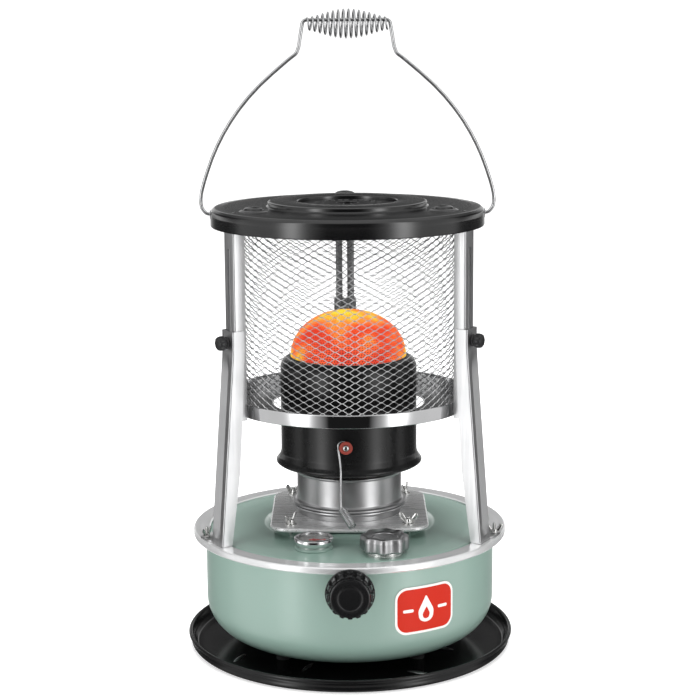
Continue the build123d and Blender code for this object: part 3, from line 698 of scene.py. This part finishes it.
def dome_pt(s, a, off=0.0):
    """s: 0 at the rim, 1 at the crown."""
    ph = s * math.pi / 2
    e = 0.93
    c, d = max(0.0, math.cos(ph)) ** e, max(0.0, math.sin(ph)) ** 1.0
    r, z = (DR - off) * c, DZ + (DH - off) * d
    return (r * math.cos(a), r * math.sin(a), z)


def perforated_dome():
    V, F = [], []
    rows = 31
    s0 = 0.0
    for i in range(rows):
        sa, sb = s0 + (0.965 - s0) * i / rows, s0 + (0.965 - s0) * (i + 1) / rows
        sm = (sa + sb) / 2
        r = DR * math.cos(sm * math.pi / 2) ** 0.93
        n = max(6, int(round(TAU * r / 2.75)))
        arc_len = 81.5 * (sb - sa) / 0.965
        hole = 0.84
        for k in range(n):
            a0 = TAU * (k + (0.5 if i % 2 else 0.0)) / n
            a1 = a0 + TAU / n
            am = (a0 + a1) / 2
            wa = (TAU * r / n)
            border = [(sa, a0), (sa, am), (sa, a1), (sm, a1), (sb, a1), (sb, am), (sb, a0), (sm, a0)]
            hs = hole / arc_len * (sb - sa)
            ha = hole / r
            ring = [(sm + hs * math.sin(rad(q)), am + ha * math.cos(rad(q))) for q in (225, 270, 315, 0, 45, 90, 135, 180)]
            o_ = len(V)
            V += [dome_pt(*p) for p in border] + [dome_pt(*p) for p in ring]
            for j in range(8):
                l = (j + 1) % 8
                F.append((o_ + j, o_ + l, o_ + 8 + l, o_ + 8 + j))
    n = 48
    top = len(V)
    V.append((0, 0, DTOP))
    for k in range(n):
        V.append(dome_pt(0.965, TAU * k / n))
    for k in range(n):
        F.append((top, top + 1 + k, top + 1 + (k + 1) % n))
    return V, F


o = make("dome_perforated", *perforated_dome(), "glow", "burner", angle=60)
sol = o.modifiers.new("wall", "SOLIDIFY")
sol.thickness, sol.offset = 0.0005, -1
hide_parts("glow_dome")
o.visible_diffuse = o.visible_glossy = False
core = [dome_pt(s, 0, 2.2) for s in np.linspace(0, 1, 20)]
oc = make("dome_core", *lathe([(p[0], p[2]) for p in core], 96, closed=False), "glow_in", "burner", angle=60)
oc.visible_diffuse = oc.visible_glossy = False
rim = rnd([(56.0, 290.0), (58.2, 290.0), (58.2, 294.4, 0.3), (57.6, 295.4, 0.4), (56.6, 295.2, 0.2), (56.0, 294.6)], n=4)
make("dome_rim", *lathe(rim, 160), "flame", "burner")

# screw, fibre washer, hooked handle
SX, SZ = -3.0, 216.0
yf = lambda y: T(SX, y, SZ) @ R(90, "X")
sc = [(0, 2.5), (1.4, 2.42), (2.5, 1.95), (3.2, 1.0), (3.3, 0.2), (3.1, 0), (1.9, 0), (1.9, -8.0), (0, -8.0)]
cross = []
screw = lathe(sc, 48, closed=False)
o = make("handle_bolt", *xf(screw, yf(-72.4)), "zinc", "burner")
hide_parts("handle_screw")
# the cross slot is not cut into the screw head: two thin black bars on the head are painted shade where the slot would
# be
for a in (25, 115):
    cross.append(xf(plate(rounded_rect(3.4, 0.7, 0.3), [], 2.2, 2.58), yf(-72.4) @ R(a, "Z")))
make("handle_bolt_slot_painted_shade", *join_parts(cross), "ink", "burner")
wsh = rnd([(1.9, 0, 0.2), (6.2, 0, 0.4), (6.6, 0.6, 0.4), (6.1, 1.25, 0.5), (1.9, 1.3, 0.3)], n=4)
o = make("fibre_washer", *xf(lathe(wsh, 64), yf(-71.1)), "fibre", "burner")
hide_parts("handle_washer")
hy = -69.9
eye = [(SX + 5.25 * math.cos(rad(a)), hy, SZ + 5.25 * math.sin(rad(a))) for a in range(-100, 91, 10)]
eye += [(SX - 3.0, hy, SZ + 5.9), (SX - 6.6, hy - 0.1, SZ + 4.3), (SX - 7.6, hy - 0.3, SZ + 0.6), (SX - 7.0, hy - 0.6, SZ - 5.5), (SX - 6.0, hy - 1.6, SZ - 12.0), (SX - 5.3, hy - 4.6, SZ - 18.5), (SX - 5.0, -77.2, 192.0), (SX - 5.2, -78.0, 184.0), (SX - 5.4, -78.3, 172.0), (SX - 5.2, -78.6, 164.0), (SX - 4.8, -79.4, 158.0)]
g0, g1 = Vector((SX - 4.4, -79.5, 157.4)), Vector((3.0, -98.0, 144.7))
gd = (g1 - g0).normalized()
eye += [tuple(g0 + gd * 3), tuple(g0 + gd * 12), tuple(g0 + gd * 20)]
o1 = make("handle_wire", *tube_path(smooth_path(eye, 5), 1.0, 14), "wire", "burner_handle")
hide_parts("burner_handle")
u = gd.cross(Vector((0, 0, 1))).normalized()
v = gd.cross(u)
L_ = (g1 - g0).length
turns = 12
hel = []
for i in range(turns * 20 + 1):
    t = i / (turns * 20)
    a = TAU * turns * t
    rr = 3.55 - (1.2 * max(0, 1 - t * turns * 1.2))
    hel.append(g0 + gd * (0.7 + (L_ - 1.2) * t) + (u * math.cos(a) + v * math.sin(a)) * rr)
# last turn curls in to the wire
for i in range(1, 12):
    a = TAU * turns + TAU * 0.75 * i / 11
    hel.append(g0 + gd * (L_ - 0.4) + (u * math.cos(a) + v * math.sin(a)) * (3.55 - 2.4 * i / 11))
o = make("handle_coil", *tube_path(hel, 0.66, 10), "wire", "burner_handle", angle=70)
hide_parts("handle_grip")

# =========================================================================
# legs and posts
# =========================================================================
def channel(w, d, t, r=1.6):
    """C section: (u radial outward from the inner edge, v tangential), web outermost."""
    h = w / 2
    return rnd([(0, -h, 0.25), (d, -h, r), (d, h, r), (0, h, 0.25), (0, h - t, 0.25), (d - t, h - t, max(0.2, r - t)), (d - t, -h + t, max(0.2, r - t)), (0, -h + t, 0.25)], n=5)


def lerp_tab(tab, z):
    for (za, va), (zb, vb) in zip(tab, tab[1:]):
        if za <= z <= zb:
            return va + (vb - va) * (z - za) / (zb - za)
    return tab[0][1] if z < tab[0][0] else tab[-1][1]


LEAN = 15.3 / 190.1


def leg_outer(z):
    """Outer face radius at a height: vertical sleeve, soft bend, then a lean to the foot."""
    if z >= 320:
        return 136.0
    if z <= 304:
        return 136.0 + (312 - z) * LEAN
    t = (320 - z) / 16
    return 136.0 + t * t * 8 * LEAN


LEG_INNER = [(121.9, 140.5), (137, 138.3), (165, 134.4), (195, 130.4), (253, 126.4), (312, 123.6), (332, 123.6)]
LEG_VEE = [(121.9, 0.0), (128.0, 0.0), (136.5, 2.3), (292, 2.0), (308, 0.0), (332, 0.0)]
LW, LT = 11.6, 1.6


def leg_section(z):
    """Channel open inwards, with a shallow vee pressed along its outer face."""
    ro, ri, vee = leg_outer(z), lerp_tab(LEG_INNER, z), lerp_tab(LEG_VEE, z)
    e = 1.5
    out = [(ri, -LW)]
    for k in range(7):
        q = rad(90 * k / 6)
        out.append((ro - e + e * math.sin(q), -LW + e - e * math.cos(q)))
    n_ = 10
    y0 = LW - e
    for k in range(1, n_):
        y = -y0 + 2 * y0 * k / n_
        out.append((ro - vee * max(0.0, 1 - abs(y) / y0), y))
    for k in range(7):
        q = rad(90 - 90 * k / 6)
        out.append((ro - e + e * math.sin(q), LW - e + e * math.cos(q)))
    out.append((ri, LW))
    out.append((ri, LW - LT))
    yi = LW - LT
    for k in range(n_ + 1):
        y = yi - 2 * yi * k / n_
        out.append((ro - LT - vee * max(0.0, 1 - abs(y) / y0), y))
    out.append((ri, -LW + LT))
    return out
for k, a in LEG_AZ.items():
    ca, sa = math.cos(rad(a)), math.sin(rad(a))
    zs = [121.9, 124, 128, 136.5, 137, 165, 195, 220, 253, 275, 292] + list(np.linspace(300, 320, 11)) + [326, 331.6, 332.0]
    V, F = [], []
    for z in zs:
        for u_, v_ in leg_section(z):
            V.append((u_ * ca - v_ * sa, u_ * sa + v_ * ca, z))
    n_ = len(leg_section(200))
    for i in range(len(zs) - 1):
        for q in range(n_):
            w = (q + 1) % n_
            F.append((i * n_ + q, i * n_ + w, (i + 1) * n_ + w, (i + 1) * n_ + q))
    F.append(tuple(range(n_))[::-1])
    F.append(tuple((len(zs) - 1) * n_ + q for q in range(n_)))
    body = (V, F)
    foot = plate(rnd([(140.8, -12.0, 1.0), (151.6, -12.0, 1.0), (151.6, 10 if SIGN[k] > 0 else 12, 1.0), (153.6, 14, 2), (153.6, 33.4, 4), (143.0, 33.4, 4), (141.6, 14, 2), (140.8, 12, 1.0)], n=5), [circle(149, 26, 2.2, 20)], 121.9, 123.5)
    if SIGN[k] < 0:
        foot = ([(x, -y, z) for x, y, z in foot[0]], foot[1])
    foot = xf(foot, R(a, "Z"))
    o = make(f"leg_{k}_channel", *join_parts([body, foot]), "alu", "base", angle=9)
    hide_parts(f"leg_{k}")

post_sec = channel(19.2, 12.2, 1.5, 1.4)
for k, a in LEG_AZ.items():
    ca, sa = math.cos(rad(a)), math.sin(rad(a))

    def pp_(u_, v_, z):
        rr = 120.6 + u_
        return (rr * ca - v_ * sa, rr * sa + v_ * ca, z)
    V, F = prism_loop(post_sec, pp_, [244.0, 260, 300, 360, 428.0])
    o = make(f"post_{k}_channel", V, F, "alu", "upper_frame", angle=30)
    slot_out = arc(0, 314 + 2.5, 2.5, 180, 360, 12) + arc(0, 411 - 2.5, 2.5, 0, 180, 12)
    cut_v = [(s, y, z) for s in (127.0, 137.0) for y, z in slot_out]
    n_ = len(slot_out)
    cut_f = [tuple(range(n_)), tuple(range(n_, 2 * n_))[::-1]] + [(i, (i + 1) % n_, n_ + (i + 1) % n_, n_ + i) for i in range(n_)]
    cv = xf((cut_v, cut_f), R(a, "Z"))
    cutter = make(f"cutter_{k}", *cv, "alu", "upper_frame")
    md = o.modifiers.new("slot", "BOOLEAN")
    md.object, md.operation, md.solver = cutter, "DIFFERENCE", "EXACT"
    bpy.context.view_layer.objects.active = o
    with bpy.context.temp_override(object=o, active_object=o):
        bpy.ops.object.modifier_apply(modifier=md.name)
    bpy.data.objects.remove(cutter)
    o.data.set_sharp_from_angle(angle=rad(30))
    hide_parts(f"post_{k}")

# thumbscrews
for k, a in LEG_AZ.items():
    base = R(a, "Z") @ T(0, 0, 320.5) @ R(90, "Y")
    stn = [(136.2, 0.02, 0), (136.2, 5.3, 0), (136.5, 5.8, 0), (137.5, 5.9, 0), (138.0, 5.3, 0), (138.4, 5.0, 0), (139.0, 5.2, 0.1), (139.6, 6.0, 0.4), (140.3, 6.8, 0.8), (141.2, 7.1, 0.9), (143.5, 7.1, 0.9), (145.4, 6.8, 0.8), (146.6, 5.9, 0.4), (147.1, 4.6, 0.1), (147.3, 2.8, 0), (147.3, 0.02, 0)]
    head = flute_knob(stn, 8, 0.6, 10)
    o = make(f"thumbscrew_{k}_head", *xf(head, base), "screw_black", f"thumbscrew_{k}", angle=40)
    shank = lathe([(0, 128.4), (1.7, 128.4), (2.0, 128.8), (2.0, 137.0), (0, 137.0)], 24, closed=False)
    clampd = lathe(rnd([(1.9, 128.7), (5.4, 128.7, 0.3), (5.4, 130.6, 0.3), (1.9, 130.6)], n=3), 6)
    s2 = make(f"thumbscrew_{k}_shank", *xf(join_parts([shank, clampd]), base), "zinc", f"thumbscrew_{k}", angle=30)
    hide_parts(f"thumbscrew_{k}")

# =========================================================================
# guard: ring, reflector, expanded mesh
# =========================================================================
ring = rnd([(119.0, 246.0, 0.3), (119.7, 245.9, 0.3), (120.3, 246.5, 0.4), (120.3, 258.0, 0.5), (119.8, 258.9, 0.4), (119.0, 258.9, 0.3)], n=4)
o = make("guard_band", *lathe(ring, 288), "chrome", "upper_frame")
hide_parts("guard_ring")

c_in = []
nq = 160
hole_loop = []
for k in range(nq):
    a = TAU * k / nq
    hole_loop.append((75.5 * math.cos(a), 75.5 * math.sin(a)))
# front notch that lets the guard come down past the burner handle
out_loop = [(p[0], p[1]) for p in circle(0, 0, 118.9, 224)]
notch = []
a0, a1 = math.asin(-16 / 75.5), math.asin(12 / 75.5)
keep = [p for p in hole_loop if not (p[1] < 0 and -16.6 < p[0] < 12.6)]
ang = sorted(keep, key=lambda p: (math.degrees(math.atan2(p[1], p[0])) - 270) % 360)
left_edge = (-16, -math.sqrt(75.5 ** 2 - 16 ** 2))
right_edge = (12, -math.sqrt(75.5 ** 2 - 12 ** 2))
hole_loop = [right_edge] + ang + [left_edge] + rnd([(-16, -74), (-16, -104, 5), (12, -104, 5), (12, -74)], closed=False, n=5)[1:-1]
V, F = plate(out_loop, [hole_loop], 246.4, 247.4)
o = make("reflector_sheet", V, F, "shield", "upper_frame", angle=30)
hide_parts("reflector_plate")
roll = [(76.2 * math.cos(rad(a)), 76.2 * math.sin(rad(a)), 247.2) for a in np.linspace(282, 282 + 336 - 12, 150)]
make("reflector_lip", *tube_path(roll, 0.7, 8), "shield", "upper_frame")


def expanded(radius, z0, z1, cells, swd, width, thick, lean):
    """Expanded sheet on a cylinder: zigzag strands that meet at short flat bonds."""
    V, F = [], []
    step = swd / 2
    count = int((z1 - z0) / step)
    amp = step / 2 - 0.0
    bond = 0.16
    n = cells * 2
    for j in range(count + 1):
        zj = z0 + j * step
        pts = []
        for k in range(n):
            sgn = 1 if (k + j) % 2 else -1
            for off in (-bond, bond):
                pts.append((TAU * (k + off) / n, zj + sgn * (amp - width * 0.28)))
        K = len(pts)
        o_ = len(V)
        for i, (a, z) in enumerate(pts):
            for du, dz in ((-thick / 2 - lean, -width / 2), (thick / 2 - lean, -width / 2), (thick / 2 + lean, width / 2), (-thick / 2 + lean, width / 2)):
                r = radius + du
                V.append((r * math.cos(a), r * math.sin(a), z + dz))
        for i in range(K):
            l = (i + 1) % K
            for q in range(4):
                w = (q + 1) % 4
                F.append((o_ + i * 4 + q, o_ + l * 4 + q, o_ + l * 4 + w, o_ + i * 4 + w))
    return V, F


V, F = expanded(118.3, 248.6, 437.4, 60, 6.55, 0.60, 0.50, -0.20)
me = bpy.data.meshes.new("guard_expanded")
me.from_pydata([(x * MM, y * MM, z * MM) for x, y, z in V], [], F)
me.update()
me.materials.append(M["mesh"])
o = bpy.data.objects.new("guard_expanded", me)
COL.objects.link(o)
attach(o, "upper_frame")
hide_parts("guard_mesh")

# =========================================================================
# cap
# =========================================================================
cap = rnd([(135.0, 426.9, 0.4), (134.4, 426.3, 0.4), (133.4, 426.9, 0.3), (133.4, 436.0, 0.0), (133.2, 439.5, 3), (131.0, 442.6, 2), (80.2, 442.9, 0.5), (77.6, 443.4, 0.5), (77.4, 448.4, 0.6), (50.4, 448.4, 0.5), (50.2, 446.0, 0.3), (48.6, 445.9),
           (48.6, 447.1), (48.9, 449.2, 0.6), (49.8, 450.0, 0.7), (60, 450.2), (76.4, 450.0, 1.2), (78.4, 449.2, 0.9), (78.7, 446.0, 0.8), (80.0, 444.7, 1.0), (100, 445.2, 0), (122, 445.0, 10), (131.2, 444.2, 3), (134.4, 441.6, 2.5), (135.0, 437.0, 2)], n=6)
o = make("cap_shell", *lathe(cap, 288), "cap_black", "upper_frame")
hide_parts("cap")
vent_holes = [circle(0, 0, 11, 48)] + [circle(28.5 * math.cos(rad(30 * i + 8)), 28.5 * math.sin(rad(30 * i + 8)), 4.9, 28) for i in range(12)]
Vv, Fv = plate(circle(0, 0, 49.0, 144), vent_holes, 445.9, 447.1)
make("cap_vent_plate", Vv, Fv, "cap_black", "upper_frame", angle=30)
lips = []
for h_ in vent_holes:
    lips.append(tube_path([(x, y, 447.0) for x, y in h_], 0.45, 8, closed=True))
make("cap_vent_lips", *join_parts(lips), "cap_black", "upper_frame")
bumps = []
bprof = [(14.6, -0.8), (14.4, 0.2), (13.4, 0.8), (12.0, 1.5), (10.6, 2.1), (9.8, 2.2), (9.2, 1.9), (8.9, 2.1)] + [(8.8 * math.cos(rad(t)), 2.2 + 2.9 * math.sin(rad(t))) for t in range(0, 90, 9)] + [(0, 5.1)]
for a in LEG_AZ.values():
    bumps.append(xf(lathe(bprof, 72, closed=False), R(a, "Z") @ T(105.5, 0, 444.5) @ R(1.0, "Y") @ Matrix.Diagonal((1.0, 1.14, 1.0, 1))))
make("cap_bumps", *join_parts(bumps), "cap_black", "upper_frame", angle=50)
riv = []
for a in LEG_AZ.values():
    riv.append(xf(lathe([(0, 2.3), (1.5, 2.15), (2.9, 1.5), (3.7, 0.5), (3.8, -1.5)], 36, closed=False), R(a, "Z") @ T(126.4, 0, 443.0) @ R(12, "Y")))
o = make("cap_rivets", *join_parts(riv), "cap_black", "upper_frame")
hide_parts("cap_screws")
curl = [(134.1 * math.cos(TAU * k / 288), 134.1 * math.sin(TAU * k / 288), 426.9) for k in range(288)]
make("cap_hem", *tube_path(curl, 0.85, 10, closed=True), "cap_black", "upper_frame")
for s in (-1, 1):
    w = rnd([(1.9, 0), (4.4, 0, 0.2), (4.4, 0.7, 0.3), (1.9, 0.7)], n=3)
    make("bail_washer_" + ("l" if s < 0 else "r"), *xf(lathe(w, 36), T(s * 135.0, 0, 436.5) @ R(90 * s, "Y")), "wire", "upper_frame")

# =========================================================================
# bail and its coil grip
# =========================================================================
half = [(x, 0, z) for x, z in ((130.5, 436.4), (139.3, 437.4), (143.6, 443.0), (144.6, 450.5), (143.5, 458.5), (140.8, 468.3), (136.9, 480.0), (132.5, 491.8), (127.3, 503.5), (121.2, 515.2), (114.0, 527.0),
                               (105.7, 538.7), (96.0, 550.5), (84.9, 562.2), (71.9, 573.9), (55.8, 587.4), (48.6, 592.8), (46.2, 599.5), (44.4, 611.1), (42.0, 624.8))]
rads = [6.0, 8.0, 22.0, 40.0, 90.0, 90.0, 90.0, 90.0, 90.0, 90.0, 90.0, 90.0, 90.0, 60.0, 60.0, 7.0, 20.0, 20.0, 4.5]
bp = fillet_path(half + [(-x, y, z) for x, y, z in reversed(half)], rads + rads[::-1], n=12)
dense = []
for p, q in zip(bp, bp[1:]):
    k = max(1, int((q - p).length / 4))
    dense += [p.lerp(q, i / k) for i in range(k)]
dense.append(bp[-1])
o = make("bail_wire", *tube_path(dense, 1.75, 18, up=(0, 1, 0)), "wire", "bail", angle=60)
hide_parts("bail")

GZ = 624.8 - 3.8
coils = 15.5
hel = []
K = int(coils * 26)
for i in range(K + 1):
    t = i / K
    a = TAU * coils * t + math.pi / 2
    sft = math.sin(math.pi * t)
    rr = 5.4 + 8.0 * (sft ** 1.35)
    x = -38.1 + 77.8 * t
    hel.append((x + 0.2, rr * math.cos(a), GZ + rr * math.sin(a)))
o = make("grip_coil", *tube_path(hel, 1.0, 12), "wire", "grip", angle=70)
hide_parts("grip_spring")

# =========================================================================
# nodes that keep their CAD shape
# =========================================================================
for n, mt in {"tank_feet": "rubber", "filler_neck": "zinc", "filler_strainer": "zinc", "filler_seal": "rubber", "gauge_body": "zinc", "gauge_float": "cork", "wick_tube_inner": "zinc",
              "wick_tube_outer": "zinc", "wick": "cotton", "wick_holder": "zinc", "pinion": "brass", "wick_shaft": "zinc", "shaft_tunnel": "zinc", "shaft_gland": "brass", "adjuster_gasket": "rubber",
              "inner_flame_tube": "flame", "outer_flame_tube": "flame", "flame_spreader": "flame", "heat_shield": "shield"}.items():
    paint_node(n, mt)

# =========================================================================
# floor, world and lights
# =========================================================================
me = bpy.data.meshes.new("floor")
s = 150.0
me.from_pydata([(-s, -s, 0), (s, -s, 0), (s, s, 0), (-s, s, 0)], [], [(0, 1, 2, 3)])
floor = bpy.data.objects.new("floor", me)
COL.objects.link(floor)
fm, nt, b = new_mat("pale_floor")
nt.links.new(mixcol(nt, noise_tex(nt, 2.0), (0.88, 0.88, 0.885), (0.90, 0.90, 0.90)), b.inputs["Base Color"])
b.inputs["Roughness"].default_value = 0.55
b.inputs["Specular IOR Level"].default_value = 0.1
b.inputs["Emission Color"].default_value = (1, 1, 1, 1)
b.inputs["Emission Strength"].default_value = 0.55
me.materials.append(fm)
floor.visible_glossy = False

world = bpy.data.worlds.new("studio")
scene.world = world
world.use_nodes = True
wt = world.node_tree
bg = wt.nodes["Background"]
tc = wt.nodes.new("ShaderNodeTexCoord")
sep = wt.nodes.new("ShaderNodeSeparateXYZ")
wt.links.new(tc.outputs["Generated"], sep.inputs[0])
at = wt.nodes.new("ShaderNodeMath")
at.operation = "ARCTAN2"          # 0 straight towards -Y, +-pi towards +Y
neg = wt.nodes.new("ShaderNodeMath")
neg.operation = "MULTIPLY"
neg.inputs[1].default_value = -1.0
wt.links.new(sep.outputs[1], neg.inputs[0])
wt.links.new(sep.outputs[0], at.inputs[0])
wt.links.new(neg.outputs[0], at.inputs[1])
ab = wt.nodes.new("ShaderNodeMath")
ab.operation = "ABSOLUTE"
wt.links.new(at.outputs[0], ab.inputs[0])
nm = wt.nodes.new("ShaderNodeMath")
nm.operation = "DIVIDE"
nm.inputs[1].default_value = math.pi
wt.links.new(ab.outputs[0], nm.inputs[0])
rp = wt.nodes.new("ShaderNodeValToRGB")
wt.links.new(nm.outputs[0], rp.inputs["Fac"])
els = [(0.0, 0.012), (0.105, 0.012), (0.15, 0.30), (0.20, 0.52), (0.33, 0.66), (0.55, 0.66), (0.60, 0.14), (0.66, 0.06), (0.80, 0.08), (0.87, 0.30), (0.91, 0.80), (0.945, 0.70), (0.972, 0.14), (1.0, 0.06)]
cr = rp.color_ramp
while len(cr.elements) > 1:
    cr.elements.remove(cr.elements[0])
cr.elements[0].position = 0.0
cr.elements[0].color = (0.012, 0.012, 0.012, 1)
for p, c in els[1:]:
    e = cr.elements.new(p)
    e.color = (c, c, c, 1)


def wmath(op, a, c=None, v=None):
    n = wt.nodes.new("ShaderNodeMath")
    n.operation = op
    wt.links.new(a, n.inputs[0])
    if c is not None:
        wt.links.new(c, n.inputs[1])
    if v is not None:
        n.inputs[1].default_value = v
    return n.outputs[0]


# two soft upright boxes, left and right of the camera
d = wmath("SUBTRACT", ab.outputs[0], v=rad(47))
d = wmath("DIVIDE", d, v=rad(8.5))
d = wmath("MULTIPLY", d, c=d)
d = wmath("MULTIPLY", d, v=-1.0)
g = wmath("EXPONENT", d)
ez = wmath("SUBTRACT", sep.outputs[2], v=0.12)
ez = wmath("DIVIDE", ez, v=0.55)
ez = wmath("MULTIPLY", ez, c=ez)
ez = wmath("MULTIPLY", ez, c=ez)
ez = wmath("MULTIPLY", ez, v=-1.0)
ge = wmath("EXPONENT", ez)
box = wmath("MULTIPLY", g, c=ge)
box = wmath("MULTIPLY", box, v=3.0)
up = wt.nodes.new("ShaderNodeMapRange")
up.inputs["From Min"].default_value = 0.45
up.inputs["From Max"].default_value = 0.85
wt.links.new(sep.outputs[2], up.inputs["Value"])
mx = wt.nodes.new("ShaderNodeMix")
mx.data_type = "RGBA"
wt.links.new(up.outputs["Result"], mx.inputs["Factor"])
wt.links.new(rp.outputs["Color"], mx.inputs[6])
mx.inputs[7].default_value = (0.8, 0.8, 0.8, 1)
# a bright strip along the horizon
hz = wmath("DIVIDE", sep.outputs[2], v=0.035)
hz = wmath("MULTIPLY", hz, c=hz)
hz = wmath("MULTIPLY", hz, v=-1.0)
hz = wmath("EXPONENT", hz)
hz = wmath("MULTIPLY", hz, v=1.12)
box = wmath("ADD", box, c=hz)
add = wt.nodes.new("ShaderNodeVectorMath")
add.operation = "ADD"
comb = wt.nodes.new("ShaderNodeCombineXYZ")
for i in range(3):
    wt.links.new(box, comb.inputs[i])
wt.links.new(mx.outputs[2], add.inputs[0])
wt.links.new(comb.outputs[0], add.inputs[1])
wt.links.new(add.outputs[0], bg.inputs["Color"])
bg.inputs["Strength"].default_value = 1.0


def area(name, loc, target, sx, sy, power):
    d = bpy.data.lights.new(name, "AREA")
    d.shape, d.size, d.size_y, d.energy = "RECTANGLE", sx, sy, power
    ob = bpy.data.objects.new(name, d)
    COL.objects.link(ob)
    ob.location = loc
    ob.rotation_mode = "QUATERNION"
    ob.rotation_quaternion = (Vector(target) - Vector(loc)).to_track_quat("-Z", "Y")
    return ob


# soft overhead fill, left out of mirror reflections so that dark enamel stays dark from above
area("top", (0, 0.3, 2.3), (0, 0, 0.2), 1.8, 1.8, 62).visible_glossy = False

scene.view_settings.view_transform = "Standard"
scene.view_settings.look = "None"
